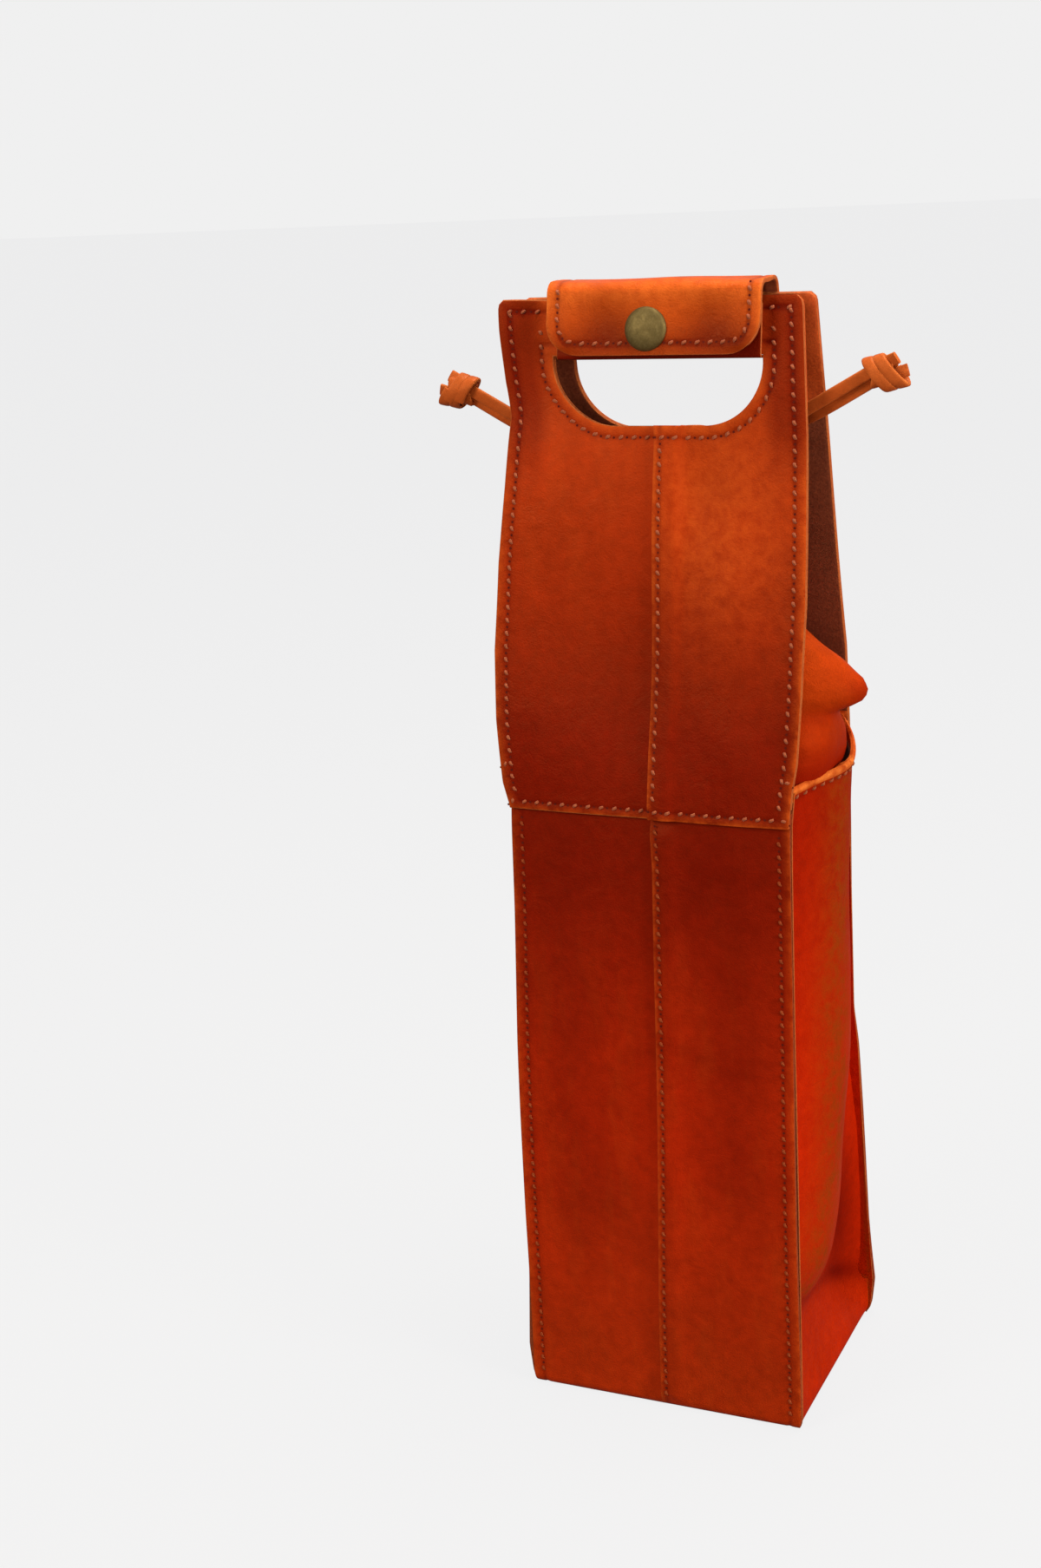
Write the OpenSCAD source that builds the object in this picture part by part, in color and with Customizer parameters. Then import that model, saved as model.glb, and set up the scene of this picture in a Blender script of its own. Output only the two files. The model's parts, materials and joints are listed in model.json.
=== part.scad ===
// Leather bottle carrier: a soft box body, two tall panels that lean together over the bottle's
// neck, and a hand slot whose top bars are held together by a snap wrap.
// X runs along the front panel, the front faces -Y, Z is up, and the base stands on z = 0.

/* [Body] */
// Width of the front and back panels over their sewn edges
carrier_w = 100; // [86:1:130]
// Depth at the base, over the outer faces of the lower panels
base_depth = 86; // [80:1:110]
// Depth at the cross seam, where the empty carrier draws in
mid_depth = 68; // [62:1:78]
// Height of the cross seam above the base
seam_height = 213; // [180:1:240]
// Height of the upper panels' top edges
panel_height = 377; // [360:1:400]
// Thickness of the shell leather
leather_t = 1.4; // [1:0.1:2]
// Width of the sewn edges where a gusset turns outward
flange_w = 5; // [4:0.5:8]
// Overlap of the right pieces on the left pieces at the centre seam
seam_lap = 6; // [4:0.5:9]
// Margin of the lower panels that goes up behind the upper panels
cross_lap = 6; // [4:0.5:9]
// How far the gussets rise above the cross seam
hem_rise = 12; // [6:1:18]
// How far the middle of each gusset swells outward
gusset_bulge = 11; // [2:1:16]
// Clearance between soft pieces that only lie near each other
soft_gap = 0.4; // [0.3:0.05:0.5]

/* [Collar] */
// Thickness of the collar's softer leather
collar_t = 1; // [0.8:0.1:1.4]
// How far the collar's folds stand out beside the gussets
collar_swell = 14; // [4:1:18]
// Margin of the collar that is sewn inside the gussets and panels
collar_margin = 12; // [8:1:20]
// Height of the gathered neck's top above the base
neck_height = 332; // [320:1:335]
// Width of the gathered neck
neck_w = 36; // [32:1:44]
// Depth of the gathered neck
neck_depth = 19; // [17:0.5:20]
// Height of the drawstring casing
casing_h = 16; // [15:1:20]
// Width of a lace strand
lace_w = 4.2; // [3:0.2:5]
// Thickness of a lace strand
lace_t = 1.6; // [1:0.1:1.8]
// Diameter of a lace's end knot
knot_d = 13; // [10:0.5:16]
// Length of the cut tails past a knot
tail_l = 7; // [4:1:12]
// Reach of a lace past the neck, up to its knot
lace_reach = 51; // [46:1:60]
// Rise of a lace from the casing to its knot
lace_climb = 25; // [10:1:30]

/* [Handle] */
// Distance between the facing sides of the two outer leather plies at the top
top_depth = 7.8; // [7:0.2:12]
// Thickness of the suede lining
lining_t = 1; // [0.8:0.1:1.4]
// Width of the hand slot
slot_w = 70; // [60:1:76]
// Depth of the hand slot, along the panel
slot_h = 22; // [18:0.5:26]
// Radius of the hand slot's lower corners
slot_r = 20; // [8:1:22]
// Height of the bar above the hand slot, along the panel
bar_h = 18; // [16:0.5:22]
// Distance of the slot's centre from the panel's centre
slot_shift = 1.5; // [0:0.5:3]
// Radius of the panels' top corners
panel_r = 2; // [1:0.5:4]

/* [Snap wrap] */
// Width of the wrap along the bar
wrap_w = 72; // [66:1:78]
// Clear height of the wrap above the panels' top edges
wrap_rise = 3.6; // [3:0.2:5]
// Radius of the flap's free corners
flap_r = 11; // [4:1:14]
// Diameter of the snap's domed cap
cap_d = 14; // [11:0.5:15]
// Height of the cap's dome
cap_h = 2.2; // [1.5:0.1:3]
// Diameter of the snap's stud
stud_d = 5.6; // [4:0.2:6]
// Length of the stud that stands in the socket
stud_l = 1.9; // [1.4:0.1:2]
// Clearance between the flap and the bar's facing
snap_gap = 2.6; // [2.4:0.1:3.2]
// Height of the snap's centre above the hand slot, along the panel
snap_rise = 8; // [7.5:0.5:9]
// Distance of the snap to the left of the wrap's middle
snap_shift = 2; // [0:0.5:6]

/* [Hidden] */
$fn = 48;

// Overrun of a cut past the face that it opens
overrun = 2 * leather_t;

// Lean of the lower and upper panels, in degrees, and their lengths
lower_lean = atan((base_depth - mid_depth) / 2 / seam_height);
upper_lean = atan((mid_depth - top_depth) / 2 / (panel_height - seam_height));
lower_l = norm([(base_depth - mid_depth) / 2, seam_height]);
upper_l = norm([(mid_depth - top_depth) / 2, panel_height - seam_height]);
half_w = carrier_w / 2;
bar_foot = upper_l - bar_h;
slot_foot = bar_foot - slot_h;
seam_gap = soft_gap / 2;
gusset_x = half_w - flange_w;
step_x = seam_lap + 2 * leather_t;
hem_height = seam_height + hem_rise;

// Faces of the wrap's layers, as distances in front of the outer leather's back face
bar_face = leather_t;
patch_face = bar_face + lining_t;
flap_face = patch_face + snap_gap;
flap_outer = flap_face + lining_t + leather_t;
wrap_l = upper_l + wrap_rise;
back_edge_l = wrap_l + (flap_face - bar_face) * tan(upper_lean);
snap_x = slot_shift - snap_shift;
snap_z = bar_foot + snap_rise;
stud_rim = leather_t / 3;
socket_bore = stud_d + 1.5 * leather_t;
socket_d = socket_bore + 1.2 * leather_t;

// Half the clear depth between the panels at a height
function inner_half(z) = z < seam_height
    ? base_depth / 2 - z * tan(lower_lean) - leather_t / cos(lower_lean)
    : mid_depth / 2 - (z - seam_height) * tan(upper_lean) - lining_t / cos(upper_lean);

// A point of the front upper frame, given as height along the panel and distance in front of it,
// as [y, z] of the model
function upper_point(h, out) = [
    -mid_depth / 2 + h * sin(upper_lean) - out * cos(upper_lean),
    seam_height + h * cos(upper_lean) + out * sin(upper_lean)
];

// The frame of the front lower panels: x across, y inward from the outer face, z up the panel
module lower_frame() {
    translate([0, -base_depth / 2, 0]) rotate([-lower_lean, 0, 0]) children();
}

// The frame of the front upper panels, whose zero is the line where the carrier opens
module upper_frame() {
    translate([0, -mid_depth / 2, seam_height]) rotate([-upper_lean, 0, 0]) children();
}

module at_back() {
    mirror([0, 1, 0]) children();
}

// A plate drawn in x and z, whose front face lies a distance in front of the frame's zero
module plate(front, thickness) {
    translate([0, thickness - front, 0]) rotate([90, 0, 0]) linear_extrude(thickness) children();
}

// A profile drawn in y and z, drawn out along x from one side to the other
module along_x(x0, x1) {
    translate([x0, 0, 0]) rotate([90, 0, 90]) linear_extrude(x1 - x0) children();
}

// A wall between two grids of points, closed round or open at its two sides
module skin(outer, inner, ring = false) {
    rows = len(outer);
    cols = len(outer[0]);
    last = ring ? cols - 1 : cols - 2;
    flat_points = concat([for (row = outer) each row], [for (row = inner) each row]);
    shift = rows * cols;
    function at(r, c) = r * cols + c % cols;
    polyhedron(points = flat_points, faces = [
        for (r = [0:rows - 2]) for (c = [0:last]) each [
            [at(r, c), at(r + 1, c), at(r + 1, c + 1)],
            [at(r, c), at(r + 1, c + 1), at(r, c + 1)],
            [shift + at(r, c), shift + at(r + 1, c + 1), shift + at(r + 1, c)],
            [shift + at(r, c), shift + at(r, c + 1), shift + at(r + 1, c + 1)]
        ],
        for (c = [0:last]) each [
            [at(0, c), at(0, c + 1), shift + at(0, c + 1)],
            [at(0, c), shift + at(0, c + 1), shift + at(0, c)],
            [at(rows - 1, c), shift + at(rows - 1, c + 1), at(rows - 1, c + 1)],
            [at(rows - 1, c), shift + at(rows - 1, c), shift + at(rows - 1, c + 1)]
        ],
        if (!ring) for (r = [0:rows - 2]) each [
            [at(r, 0), shift + at(r, 0), shift + at(r + 1, 0)],
            [at(r, 0), shift + at(r + 1, 0), at(r + 1, 0)],
            [at(r, cols - 1), shift + at(r + 1, cols - 1), shift + at(r, cols - 1)],
            [at(r, cols - 1), at(r + 1, cols - 1), shift + at(r + 1, cols - 1)]
        ]
    ]);
}

// Base, sewn inside out to the panels and gussets, so that its edges are rounded folds
module base_panel() {
    fold_r = 2 * leather_t;
    long = 2 * (gusset_x - leather_t - soft_gap);
    deep = 2 * (inner_half(leather_t) - soft_gap / 4);
    color("chocolate") linear_extrude(leather_t) {
        square([long, deep - 2 * fold_r], center = true);
        square([long - 2 * fold_r, deep], center = true);
        for (x = [-1, 1]) for (y = [-1, 1])
            translate([x * (long / 2 - fold_r), y * (deep / 2 - fold_r)]) circle(fold_r);
    }
}

// Section of a right piece, which steps over the left piece's margin at the centre seam; its outer
// face lies a distance in front of the frame's zero
module lapped_section(front) {
    translate([0, -front]) polygon([
        [0, -leather_t], [seam_lap, -leather_t], [step_x, 0], [half_w, 0],
        [half_w, leather_t], [step_x, leather_t], [seam_lap, 0], [0, 0]
    ]);
}

// Points of a lower panel's side, as [y, z], at a depth inward from its outer face
low_in = [cos(lower_lean), -sin(lower_lean)];
up_in = [cos(upper_lean), -sin(upper_lean)];
up_way = [sin(upper_lean), cos(upper_lean)];
fold_in = (low_in + up_in) / (1 + low_in * up_in);
fold_line = [-mid_depth / 2, seam_height];
function foot_point(n) = [-base_depth / 2 + n / cos(lower_lean), 0];
function fold_point(n) = fold_line + n * fold_in;
function margin_point(n) = fold_line + n * up_in + cross_lap * up_way;

// The left piece: flat up to the cross seam, then its margin behind the upper panel
module lower_left_piece() {
    along_x(-half_w, seam_lap - soft_gap) polygon([
        foot_point(0), fold_point(0), margin_point(0),
        margin_point(leather_t), fold_point(leather_t), foot_point(leather_t)
    ]);
}

// The right piece laps over the left one, and only its flat part has a margin
module lower_right_piece() {
    intersection() {
        lower_frame() translate([0, 0, -overrun])
            linear_extrude(lower_l + 2 * overrun) lapped_section(0);
        along_x(-half_w, carrier_w) polygon([
            [-base_depth, 0], fold_point(-base_depth / 4), fold_point(base_depth / 4), [0, 0]
        ]);
    }
    along_x(step_x, half_w) polygon([
        fold_point(0), margin_point(0), margin_point(leather_t), fold_point(leather_t)
    ]);
}

module front_lower_left() {
    color("firebrick") lower_left_piece();
}

module front_lower_right() {
    color("firebrick") lower_right_piece();
}

module back_lower_left() {
    color("firebrick") at_back() lower_left_piece();
}

module back_lower_right() {
    color("firebrick") at_back() lower_right_piece();
}

// Heights of the gusset's sections as shares of the seam height, and its swelling at each
gusset_shares = [
    [0, 0], [0.06, 0.5], [0.16, 0.62], [0.4, 0.5], [0.7, 0.8], [0.9, 1]
];
gusset_steps = 8;

// One section of a gusset: turned-out edge, swelling wall, turned-out edge
function gusset_section(z, swell, inside) =
    let (
        half = inner_half(z) - (z < seam_height ? 0 : leather_t / 2),
        edge = inside ? half : half - leather_t,
        wall = gusset_x - (inside ? leather_t : 0),
        tip = z < seam_height ? half_w : gusset_x + leather_t / 4
    )
    concat(
        [[tip, -edge, z]],
        [for (i = [0:gusset_steps])
            let (s = 2 * i / gusset_steps - 1) [wall + swell * cos(90 * s), s * edge, z]],
        [[tip, edge, z]]
    );

function gusset_rows(inside) = concat(
    [for (g = gusset_shares) gusset_section(g[0] * seam_height, g[1] * gusset_bulge, inside)],
    [gusset_section(seam_height - soft_gap, gusset_bulge, inside)],
    [gusset_section(seam_height, gusset_bulge, inside)],
    [gusset_section(hem_height, gusset_shares[4][1] * gusset_bulge, inside)]
);

module gusset_right() {
    color("orangered") skin(gusset_rows(false), gusset_rows(true));
}

module gusset_left() {
    color("orangered") mirror([1, 0, 0]) skin(gusset_rows(false), gusset_rows(true));
}

// Collar sections: height above the cross seam as a share of the way to the casing, half width as
// a share of the way from the neck to the mouth, swelling, and squareness
collar_shares = [
    [0.12, 1, 0, 5], [0.22, 1, 0.5, 4], [0.34, 1, 1, 2.6], [0.45, 0.86, 0.75, 2.4],
    [0.6, 0.6, 0.25, 2.3], [0.8, 0.22, 0, 2.4], [1, 0, 0, 3]
];
collar_steps = 32;
casing_foot = neck_height - casing_h;
tunnel = lace_t + 2 * soft_gap;
throat_w = neck_w / 2 - 2 * collar_t - tunnel;
throat_d = neck_depth / 2 - 2 * collar_t - tunnel;

function collar_ring(z, half_x, half_y, square) = [
    for (i = [0:collar_steps - 1])
        let (a = 360 * i / collar_steps, c = cos(a), s = sin(a))
        [
            sign(c) * half_x * pow(abs(c), 2 / square),
            sign(s) * half_y * pow(abs(s), 2 / square),
            z
        ]
];

// The collar's rings; cut is the wall's thickness for the inner surface and 0 for the outer one
function collar_rings(cut) =
    let (
        mouth_x = gusset_x - leather_t - soft_gap,
        mouth_y = inner_half(hem_height) - 2 * soft_gap,
        foot = seam_height - collar_margin
    )
    concat(
        [collar_ring(foot, mouth_x - cut, mouth_y - cut, 6)],
        [for (c = collar_shares)
            let (
                z = seam_height + c[0] * (casing_foot - seam_height),
                room = inner_half(z) - 2 * soft_gap,
                x = throat_w + collar_t + c[1] * (mouth_x - throat_w - collar_t) + c[2] * collar_swell,
                y = min(room, throat_d + collar_t + (c[1] + c[2]) * mouth_y)
            )
            collar_ring(z, x - cut, y - cut, c[3])]
    );

// A ring of the neck: a flat oval with straight long sides
module oval(half_x, half_y) {
    square([2 * (half_x - half_y), 2 * half_y], center = true);
    for (side = [-1, 1]) translate([side * (half_x - half_y), 0]) circle(half_y);
}

module oval_ring(half_x, half_y, wall) {
    difference() {
        oval(half_x, half_y);
        oval(half_x - wall, half_y - wall);
    }
}

// Soft pouch that closes over the bottle's neck; its top is folded down to hold the two laces
module collar() {
    color("tomato") {
        skin(collar_rings(0), collar_rings(collar_t), ring = true);
        difference() {
            union() {
                translate([0, 0, casing_foot])
                    linear_extrude(casing_h) oval_ring(throat_w + collar_t, throat_d + collar_t, collar_t);
                translate([0, 0, casing_foot])
                    linear_extrude(casing_h) oval_ring(neck_w / 2, neck_depth / 2, collar_t);
                for (z = [casing_foot, neck_height - collar_t]) translate([0, 0, z])
                    linear_extrude(collar_t) oval_ring(neck_w / 2, neck_depth / 2, neck_w / 2 - throat_w);
            }
            for (side = [-1, 1]) for (front = [-1, 1])
                translate([side * neck_w / 2, front * lace_y, lace_height(side)])
                    cube([neck_depth, lace_t + soft_gap, lace_w + soft_gap], center = true);
        }
    }
}

// The hand slot: straight across its top, with round lower corners
module slot_outline() {
    translate([slot_shift - slot_w / 2, slot_foot]) intersection() {
        square([slot_w, slot_h]);
        union() {
            translate([0, slot_r]) square([slot_w, slot_h]);
            translate([slot_r, 0]) square([slot_w - 2 * slot_r, slot_h]);
            for (x = [slot_r, slot_w - slot_r]) translate([x, slot_r]) circle(slot_r);
        }
    }
}

// Outline of an upper panel from one height to the top, with round top corners
module panel_outline(foot) {
    translate([-half_w, foot]) square([carrier_w, upper_l - foot - panel_r]);
    translate([panel_r - half_w, foot]) square([carrier_w - 2 * panel_r, upper_l - foot]);
    for (side = [-1, 1]) translate([side * (half_w - panel_r), upper_l - panel_r]) circle(panel_r);
}

module slot_cut() {
    plate(half_w, carrier_w) slot_outline();
}

// The left piece ends in a margin under the right one, and in a plain edge on the bar
module upper_left_piece() {
    upper_frame() difference() {
        plate(leather_t, leather_t) intersection() {
            panel_outline(seam_gap);
            union() {
                translate([-carrier_w, 0]) square([carrier_w + seam_lap - soft_gap, bar_foot]);
                translate([-carrier_w, 0]) square([carrier_w, upper_l]);
            }
        }
        slot_cut();
    }
}

// The right piece laps over the left one up to the hand slot, and meets its edge on the bar
module upper_right_piece() {
    upper_frame() difference() {
        union() {
            translate([0, 0, seam_gap]) linear_extrude(bar_foot - seam_gap) lapped_section(leather_t);
            plate(leather_t, leather_t) intersection() {
                panel_outline(slot_foot);
                translate([0, slot_foot]) square([half_w, upper_l]);
            }
        }
        slot_cut();
    }
}

module upper_lining() {
    upper_frame() plate(0, lining_t) difference() {
        panel_outline(cross_lap + soft_gap);
        slot_outline();
    }
}

module front_upper_left() {
    color("firebrick") upper_left_piece();
}

module front_upper_right() {
    color("firebrick") upper_right_piece();
}

module front_lining() {
    color("saddlebrown") upper_lining();
}

module back_upper_left() {
    color("firebrick") at_back() upper_left_piece();
}

module back_upper_right() {
    color("firebrick") at_back() upper_right_piece();
}

module back_lining() {
    color("saddlebrown") at_back() upper_lining();
}

// A round piece of the snap, square to the front bar, from one distance in front of it to another
module snap_ring(from, to, d, bore = 0) {
    upper_frame() translate([snap_x, -from, snap_z]) rotate([90, 0, 0]) difference() {
        cylinder(h = to - from, d = d);
        if (bore > 0) translate([0, 0, -overrun]) cylinder(h = to - from + 2 * overrun, d = bore);
    }
}

// Facing on the front bar that takes the stud; it turns under the bar
module stud_patch() {
    patch_w = slot_w - 2 * soft_gap;
    color("indianred") upper_frame() translate([slot_shift - patch_w / 2, 0, 0]) {
        translate([0, -patch_face, bar_foot - lining_t]) cube([patch_w, lining_t, bar_h + lining_t]);
        translate([0, -patch_face, bar_foot - lining_t])
            cube([patch_w, patch_face + lining_t, lining_t]);
    }
}

// Stud of the snap, riveted to the front bar
module snap_stud() {
    color("darkkhaki") {
        snap_ring(patch_face, patch_face + stud_rim, socket_d);
        snap_ring(patch_face, patch_face + stud_rim + stud_l, stud_d);
    }
}

// Hollow post behind the front bar, whose rim holds the stud from inside
module snap_post() {
    color("darkkhaki") snap_ring(-lining_t - stud_rim, -lining_t, socket_d, stud_d / 2);
}

module wrap_band(foot, top, front, thickness, width) {
    translate([slot_shift - width / 2, -front, foot]) cube([width, thickness, top - foot]);
}

// Back part of the wrap, sewn to the back bar and curled under it
module wrap_back() {
    foot = bar_foot - leather_t;
    outer = bar_face + leather_t;
    color("firebrick") at_back() upper_frame() {
        wrap_band(foot, back_edge_l + leather_t, outer, leather_t, wrap_w);
        wrap_band(foot, foot + leather_t, outer, outer + lining_t, slot_w - 2 * soft_gap);
    }
}

// Top of the wrap, level over both bars; its ends lean with the parts that it meets there
module wrap_top() {
    back = [for (h = [back_edge_l, back_edge_l + leather_t]) upper_point(h, bar_face)];
    color("orangered") along_x(slot_shift - wrap_w / 2, slot_shift + wrap_w / 2) polygon([
        upper_point(wrap_l, flap_face), [-back[0][0], back[0][1]], [-back[1][0], back[1][1]],
        upper_point(wrap_l + leather_t, flap_face)
    ]);
}

// Outline of the flap, with round lower corners
module flap_outline(width, foot, top, r) {
    translate([slot_shift - width / 2, foot + r]) square([width, top - foot - r]);
    translate([slot_shift - width / 2 + r, foot]) square([width - 2 * r, top - foot]);
    for (side = [-1, 1]) translate([slot_shift + side * (width / 2 - r), foot + r]) circle(r);
}

module wrap_flap() {
    color("firebrick") upper_frame() plate(flap_outer, leather_t)
        flap_outline(wrap_w, bar_foot, wrap_l + leather_t, flap_r);
}

module flap_lining() {
    color("saddlebrown") upper_frame() plate(flap_face + lining_t, lining_t)
        flap_outline(wrap_w, bar_foot, wrap_l + leather_t, flap_r);
}

// Domed cap on the face of the flap
module snap_cap() {
    dome_r = (pow(cap_d / 2, 2) + pow(cap_h, 2)) / (2 * cap_h);
    color("darkkhaki") upper_frame() translate([snap_x, -flap_outer, snap_z]) rotate([90, 0, 0])
        intersection() {
            translate([0, 0, cap_h - dome_r]) sphere(dome_r, $fn = 96);
            cylinder(h = 2 * cap_h, d = cap_d);
        }
}

// Socket on the inner face of the flap, which grips the stud
module snap_socket() {
    color("darkkhaki") snap_ring(flap_face - snap_gap + stud_rim + soft_gap, flap_face, socket_d, socket_bore);
}

// Height and side of each lace in the casing: the right lace runs above the left one
lace_y = neck_depth / 2 - collar_t - tunnel / 2;
function lace_height(side) = casing_foot + casing_h / 2 + side * (lace_w / 2 + soft_gap);

// Way of a lace strand outward from the casing, as shares of its reach, of the distance between
// the two strands in the casing, and of its rise
lace_shares = [
    [-0.46, 1, 0], [0.08, 1, 0], [0.3, 0.7, 0.24], [0.52, 0.3, 0.47], [0.7, 0.16, 0.66], [1, 0.16, 1]
];

function lace_way(side, front) = [
    for (p = lace_shares) [
        neck_w / 2 + p[0] * lace_reach,
        front * max(p[1] * lace_y, lace_t / 2 + soft_gap / 2),
        lace_height(side) + p[2] * lace_climb
    ]
];

// Rings of a flat strand along its way, each upright and square to the way seen from the side
function strand_rows(way, out) = [
    for (i = [0:len(way) - 1])
        let (
            a = way[max(i - 1, 0)],
            b = way[min(i + 1, len(way) - 1)],
            rise = atan2(b[2] - a[2], b[0] - a[0])
        )
        [for (up = [-1, 1]) way[i] + [-up * sin(rise) * lace_w / 2, out, up * cos(rise) * lace_w / 2]]
];

module strand(way) {
    skin(strand_rows(way, lace_t / 2), strand_rows(way, -lace_t / 2));
}

// A lace: two strands out of the casing, their overhand knot and two cut tails
module lace(side) {
    way = lace_way(side, 1);
    end = way[len(way) - 1];
    rise = atan2(
        (lace_shares[5][2] - lace_shares[4][2]) * lace_climb,
        (lace_shares[5][0] - lace_shares[4][0]) * lace_reach
    );
    for (front = [-1, 1]) strand(lace_way(side, front));
    translate([end[0], 0, end[2]]) rotate([0, -rise, 0]) translate([knot_d / 3, 0, 0]) {
        rotate([0, 90, 0]) rotate_extrude() translate([knot_d / 2 - lace_w / 2, 0])
            circle(lace_w / 2, $fn = 24);
        sphere(knot_d / 2 - lace_w / 2);
        for (front = [-1, 1]) rotate([0, front * rise / 2, 0])
            translate([0, front * lace_t - lace_t / 2, -lace_w / 2])
                cube([knot_d / 3 + tail_l, lace_t, lace_w]);
    }
}

module lace_right() {
    color("coral") lace(1);
}

module lace_left() {
    color("coral") mirror([1, 0, 0]) lace(-1);
}

base_panel();
front_lower_left();
front_lower_right();
back_lower_left();
back_lower_right();
gusset_left();
gusset_right();
collar();
front_upper_left();
front_upper_right();
front_lining();
stud_patch();
snap_stud();
snap_post();
back_upper_left();
back_upper_right();
back_lining();
wrap_back();
wrap_top();
wrap_flap();
flap_lining();
snap_cap();
snap_socket();
lace_right();
lace_left();
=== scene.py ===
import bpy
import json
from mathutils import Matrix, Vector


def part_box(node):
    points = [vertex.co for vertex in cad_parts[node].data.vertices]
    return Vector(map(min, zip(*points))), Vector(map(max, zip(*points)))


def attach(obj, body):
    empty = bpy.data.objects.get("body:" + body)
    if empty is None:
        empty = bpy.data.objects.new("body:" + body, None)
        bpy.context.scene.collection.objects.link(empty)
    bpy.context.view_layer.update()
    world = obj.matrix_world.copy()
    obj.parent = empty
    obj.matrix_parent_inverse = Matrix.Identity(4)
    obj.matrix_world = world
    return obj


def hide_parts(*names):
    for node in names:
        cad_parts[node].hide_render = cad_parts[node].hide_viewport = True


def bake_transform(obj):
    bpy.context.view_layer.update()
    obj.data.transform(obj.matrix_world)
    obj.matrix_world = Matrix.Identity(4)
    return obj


bl_info = {
    "name": "Bottle Carrier",
    "version": (1, 0, 0),
    "blender": (4, 5, 0),
    "location": "3D View > Sidebar > Carrier",
    "description": "Sewn leather carrier for one bottle, with a snap wrap over its hand slot",
    "category": "Object",
}

import contextlib
import json
import math

import bpy
import numpy as np
from mathutils import Matrix, Vector
from mathutils.bvhtree import BVHTree

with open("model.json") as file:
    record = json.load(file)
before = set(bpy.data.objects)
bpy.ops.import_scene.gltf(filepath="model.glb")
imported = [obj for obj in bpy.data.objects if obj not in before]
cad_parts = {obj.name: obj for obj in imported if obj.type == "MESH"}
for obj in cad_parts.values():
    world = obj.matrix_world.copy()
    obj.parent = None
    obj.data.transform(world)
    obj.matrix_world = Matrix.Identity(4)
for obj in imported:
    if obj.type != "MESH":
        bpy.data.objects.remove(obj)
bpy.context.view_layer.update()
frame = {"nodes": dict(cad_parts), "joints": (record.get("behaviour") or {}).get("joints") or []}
MM = 0.001

# Places that the CAD frame gives: half depth at the base, and the line where the carrier opens
HINGE = next(joint["pos_m"] for joint in frame["joints"] if joint["name"] == "front_spread")
BASE_Y = -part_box("front_lower_left")[0].y
SEAM_Y = -HINGE[1]
SEAM_Z = HINGE[2]
HALF_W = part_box("front_lower_right")[1].x
TOP_Y = 3.9 * MM
TOP_Z = 377 * MM
LOW_L = math.hypot(BASE_Y - SEAM_Y, SEAM_Z)
UP_L = math.hypot(SEAM_Y - TOP_Y, TOP_Z - SEAM_Z)
LOW_LEAN = math.atan2(BASE_Y - SEAM_Y, SEAM_Z)
UP_LEAN = math.atan2(SEAM_Y - TOP_Y, TOP_Z - SEAM_Z)
TOP_S = LOW_L + UP_L

# Gap between a lower and an upper piece, how deep the threads sink in, and by how much less than the
# whole lap the left pieces run under the right ones
UPPER_GAP = 0.2 * MM
THREAD_SINK = 0.15 * MM
LAP_EASE = 0.4 * MM
HANDS = ((-1, "left"), (1, "right"))
FACES = ((-1, "front"), (1, "back"))
SHELL = ("shell leather", "flesh side", "cut edge")


def measure(name, description, value):
    return bpy.props.FloatProperty(
        name=name, description=description, default=value * MM, unit="LENGTH", precision=5
    )


def colour(name, description, value):
    return bpy.props.FloatVectorProperty(
        name=name, description=description, default=value, subtype="COLOR", size=3, min=0, max=1
    )


class CarrierSizes(bpy.types.PropertyGroup):
    """Sizes of the leather work that a maker would change"""

    leather: measure("Leather", "Thickness of the shell leather", 1.4)
    lining: measure("Lining", "Thickness of the suede lining", 1.0)
    soft: measure("Soft leather", "Thickness of the gussets and the collar", 1.0)
    pitch: measure("Stitch pitch", "Distance from one needle hole shade to the next", 4.3)
    inset: measure("Stitch inset", "Distance of the edge stitching from the edge", 3.4)
    thread: measure("Thread", "Diameter of the sewing thread", 0.8)
    seam_lap: measure("Seam lap", "Overlap of the right pieces on the left ones", 6)
    slot_width: measure("Slot width", "Width of the hand slot", 70)
    slot_depth: measure("Slot depth", "Height of the hand slot along the panel", 22)
    slot_radius: measure("Slot radius", "Radius of the slot's lower corners", 20)
    bar: measure("Bar", "Height of the bar above the hand slot", 18)
    wrap_width: measure("Wrap width", "Width of the snap wrap along the bar", 72)
    shift: measure("Slot shift", "Distance of the slot and wrap from the panel's middle", 1.5)
    lace: measure("Lace", "Width of one lace strand", 4.0)


class CarrierColours(bpy.types.PropertyGroup):
    """Colours of the leathers, the thread and the snap"""

    leather: colour("Leather", "Middle tone of the shell leather", (0.36, 0.015, 0.0016))
    # The dark tone is also the colour of the shell leather's painted shade
    leather_dark_and_shade: colour("Leather, dark", "Deep tone where the dye has pooled", (0.145, 0.004, 0.0008))
    # The light tone is also the colour of its painted light and painted highlights
    leather_light_and_highlight: colour("Leather, light", "Tone where the leather is rubbed", (0.52, 0.075, 0.008))
    edge: colour("Cut edge", "Raw edges of the leather", (0.50, 0.135, 0.026))
    suede: colour("Suede", "Flesh side and lining", (0.26, 0.055, 0.019))
    thread: colour("Thread", "Sewing thread", (0.37, 0.09, 0.032))
    brass: colour("Brass", "Antiqued brass of the snap", (0.15, 0.105, 0.034))


def sizes():
    return bpy.context.scene.carrier_sizes


def colours():
    return bpy.context.scene.carrier_colours


def sew_line():
    """Distance of the edge stitching from the edge, the thread's half width included"""
    return sizes().inset + 0.4 * MM


# Modelling helpers


def deselect():
    if bpy.context.object and bpy.context.object.mode != "OBJECT":
        bpy.ops.object.mode_set(mode="OBJECT")
    bpy.ops.object.select_all(action="DESELECT")


def take(obj):
    deselect()
    obj.select_set(True)
    bpy.context.view_layer.objects.active = obj


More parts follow.
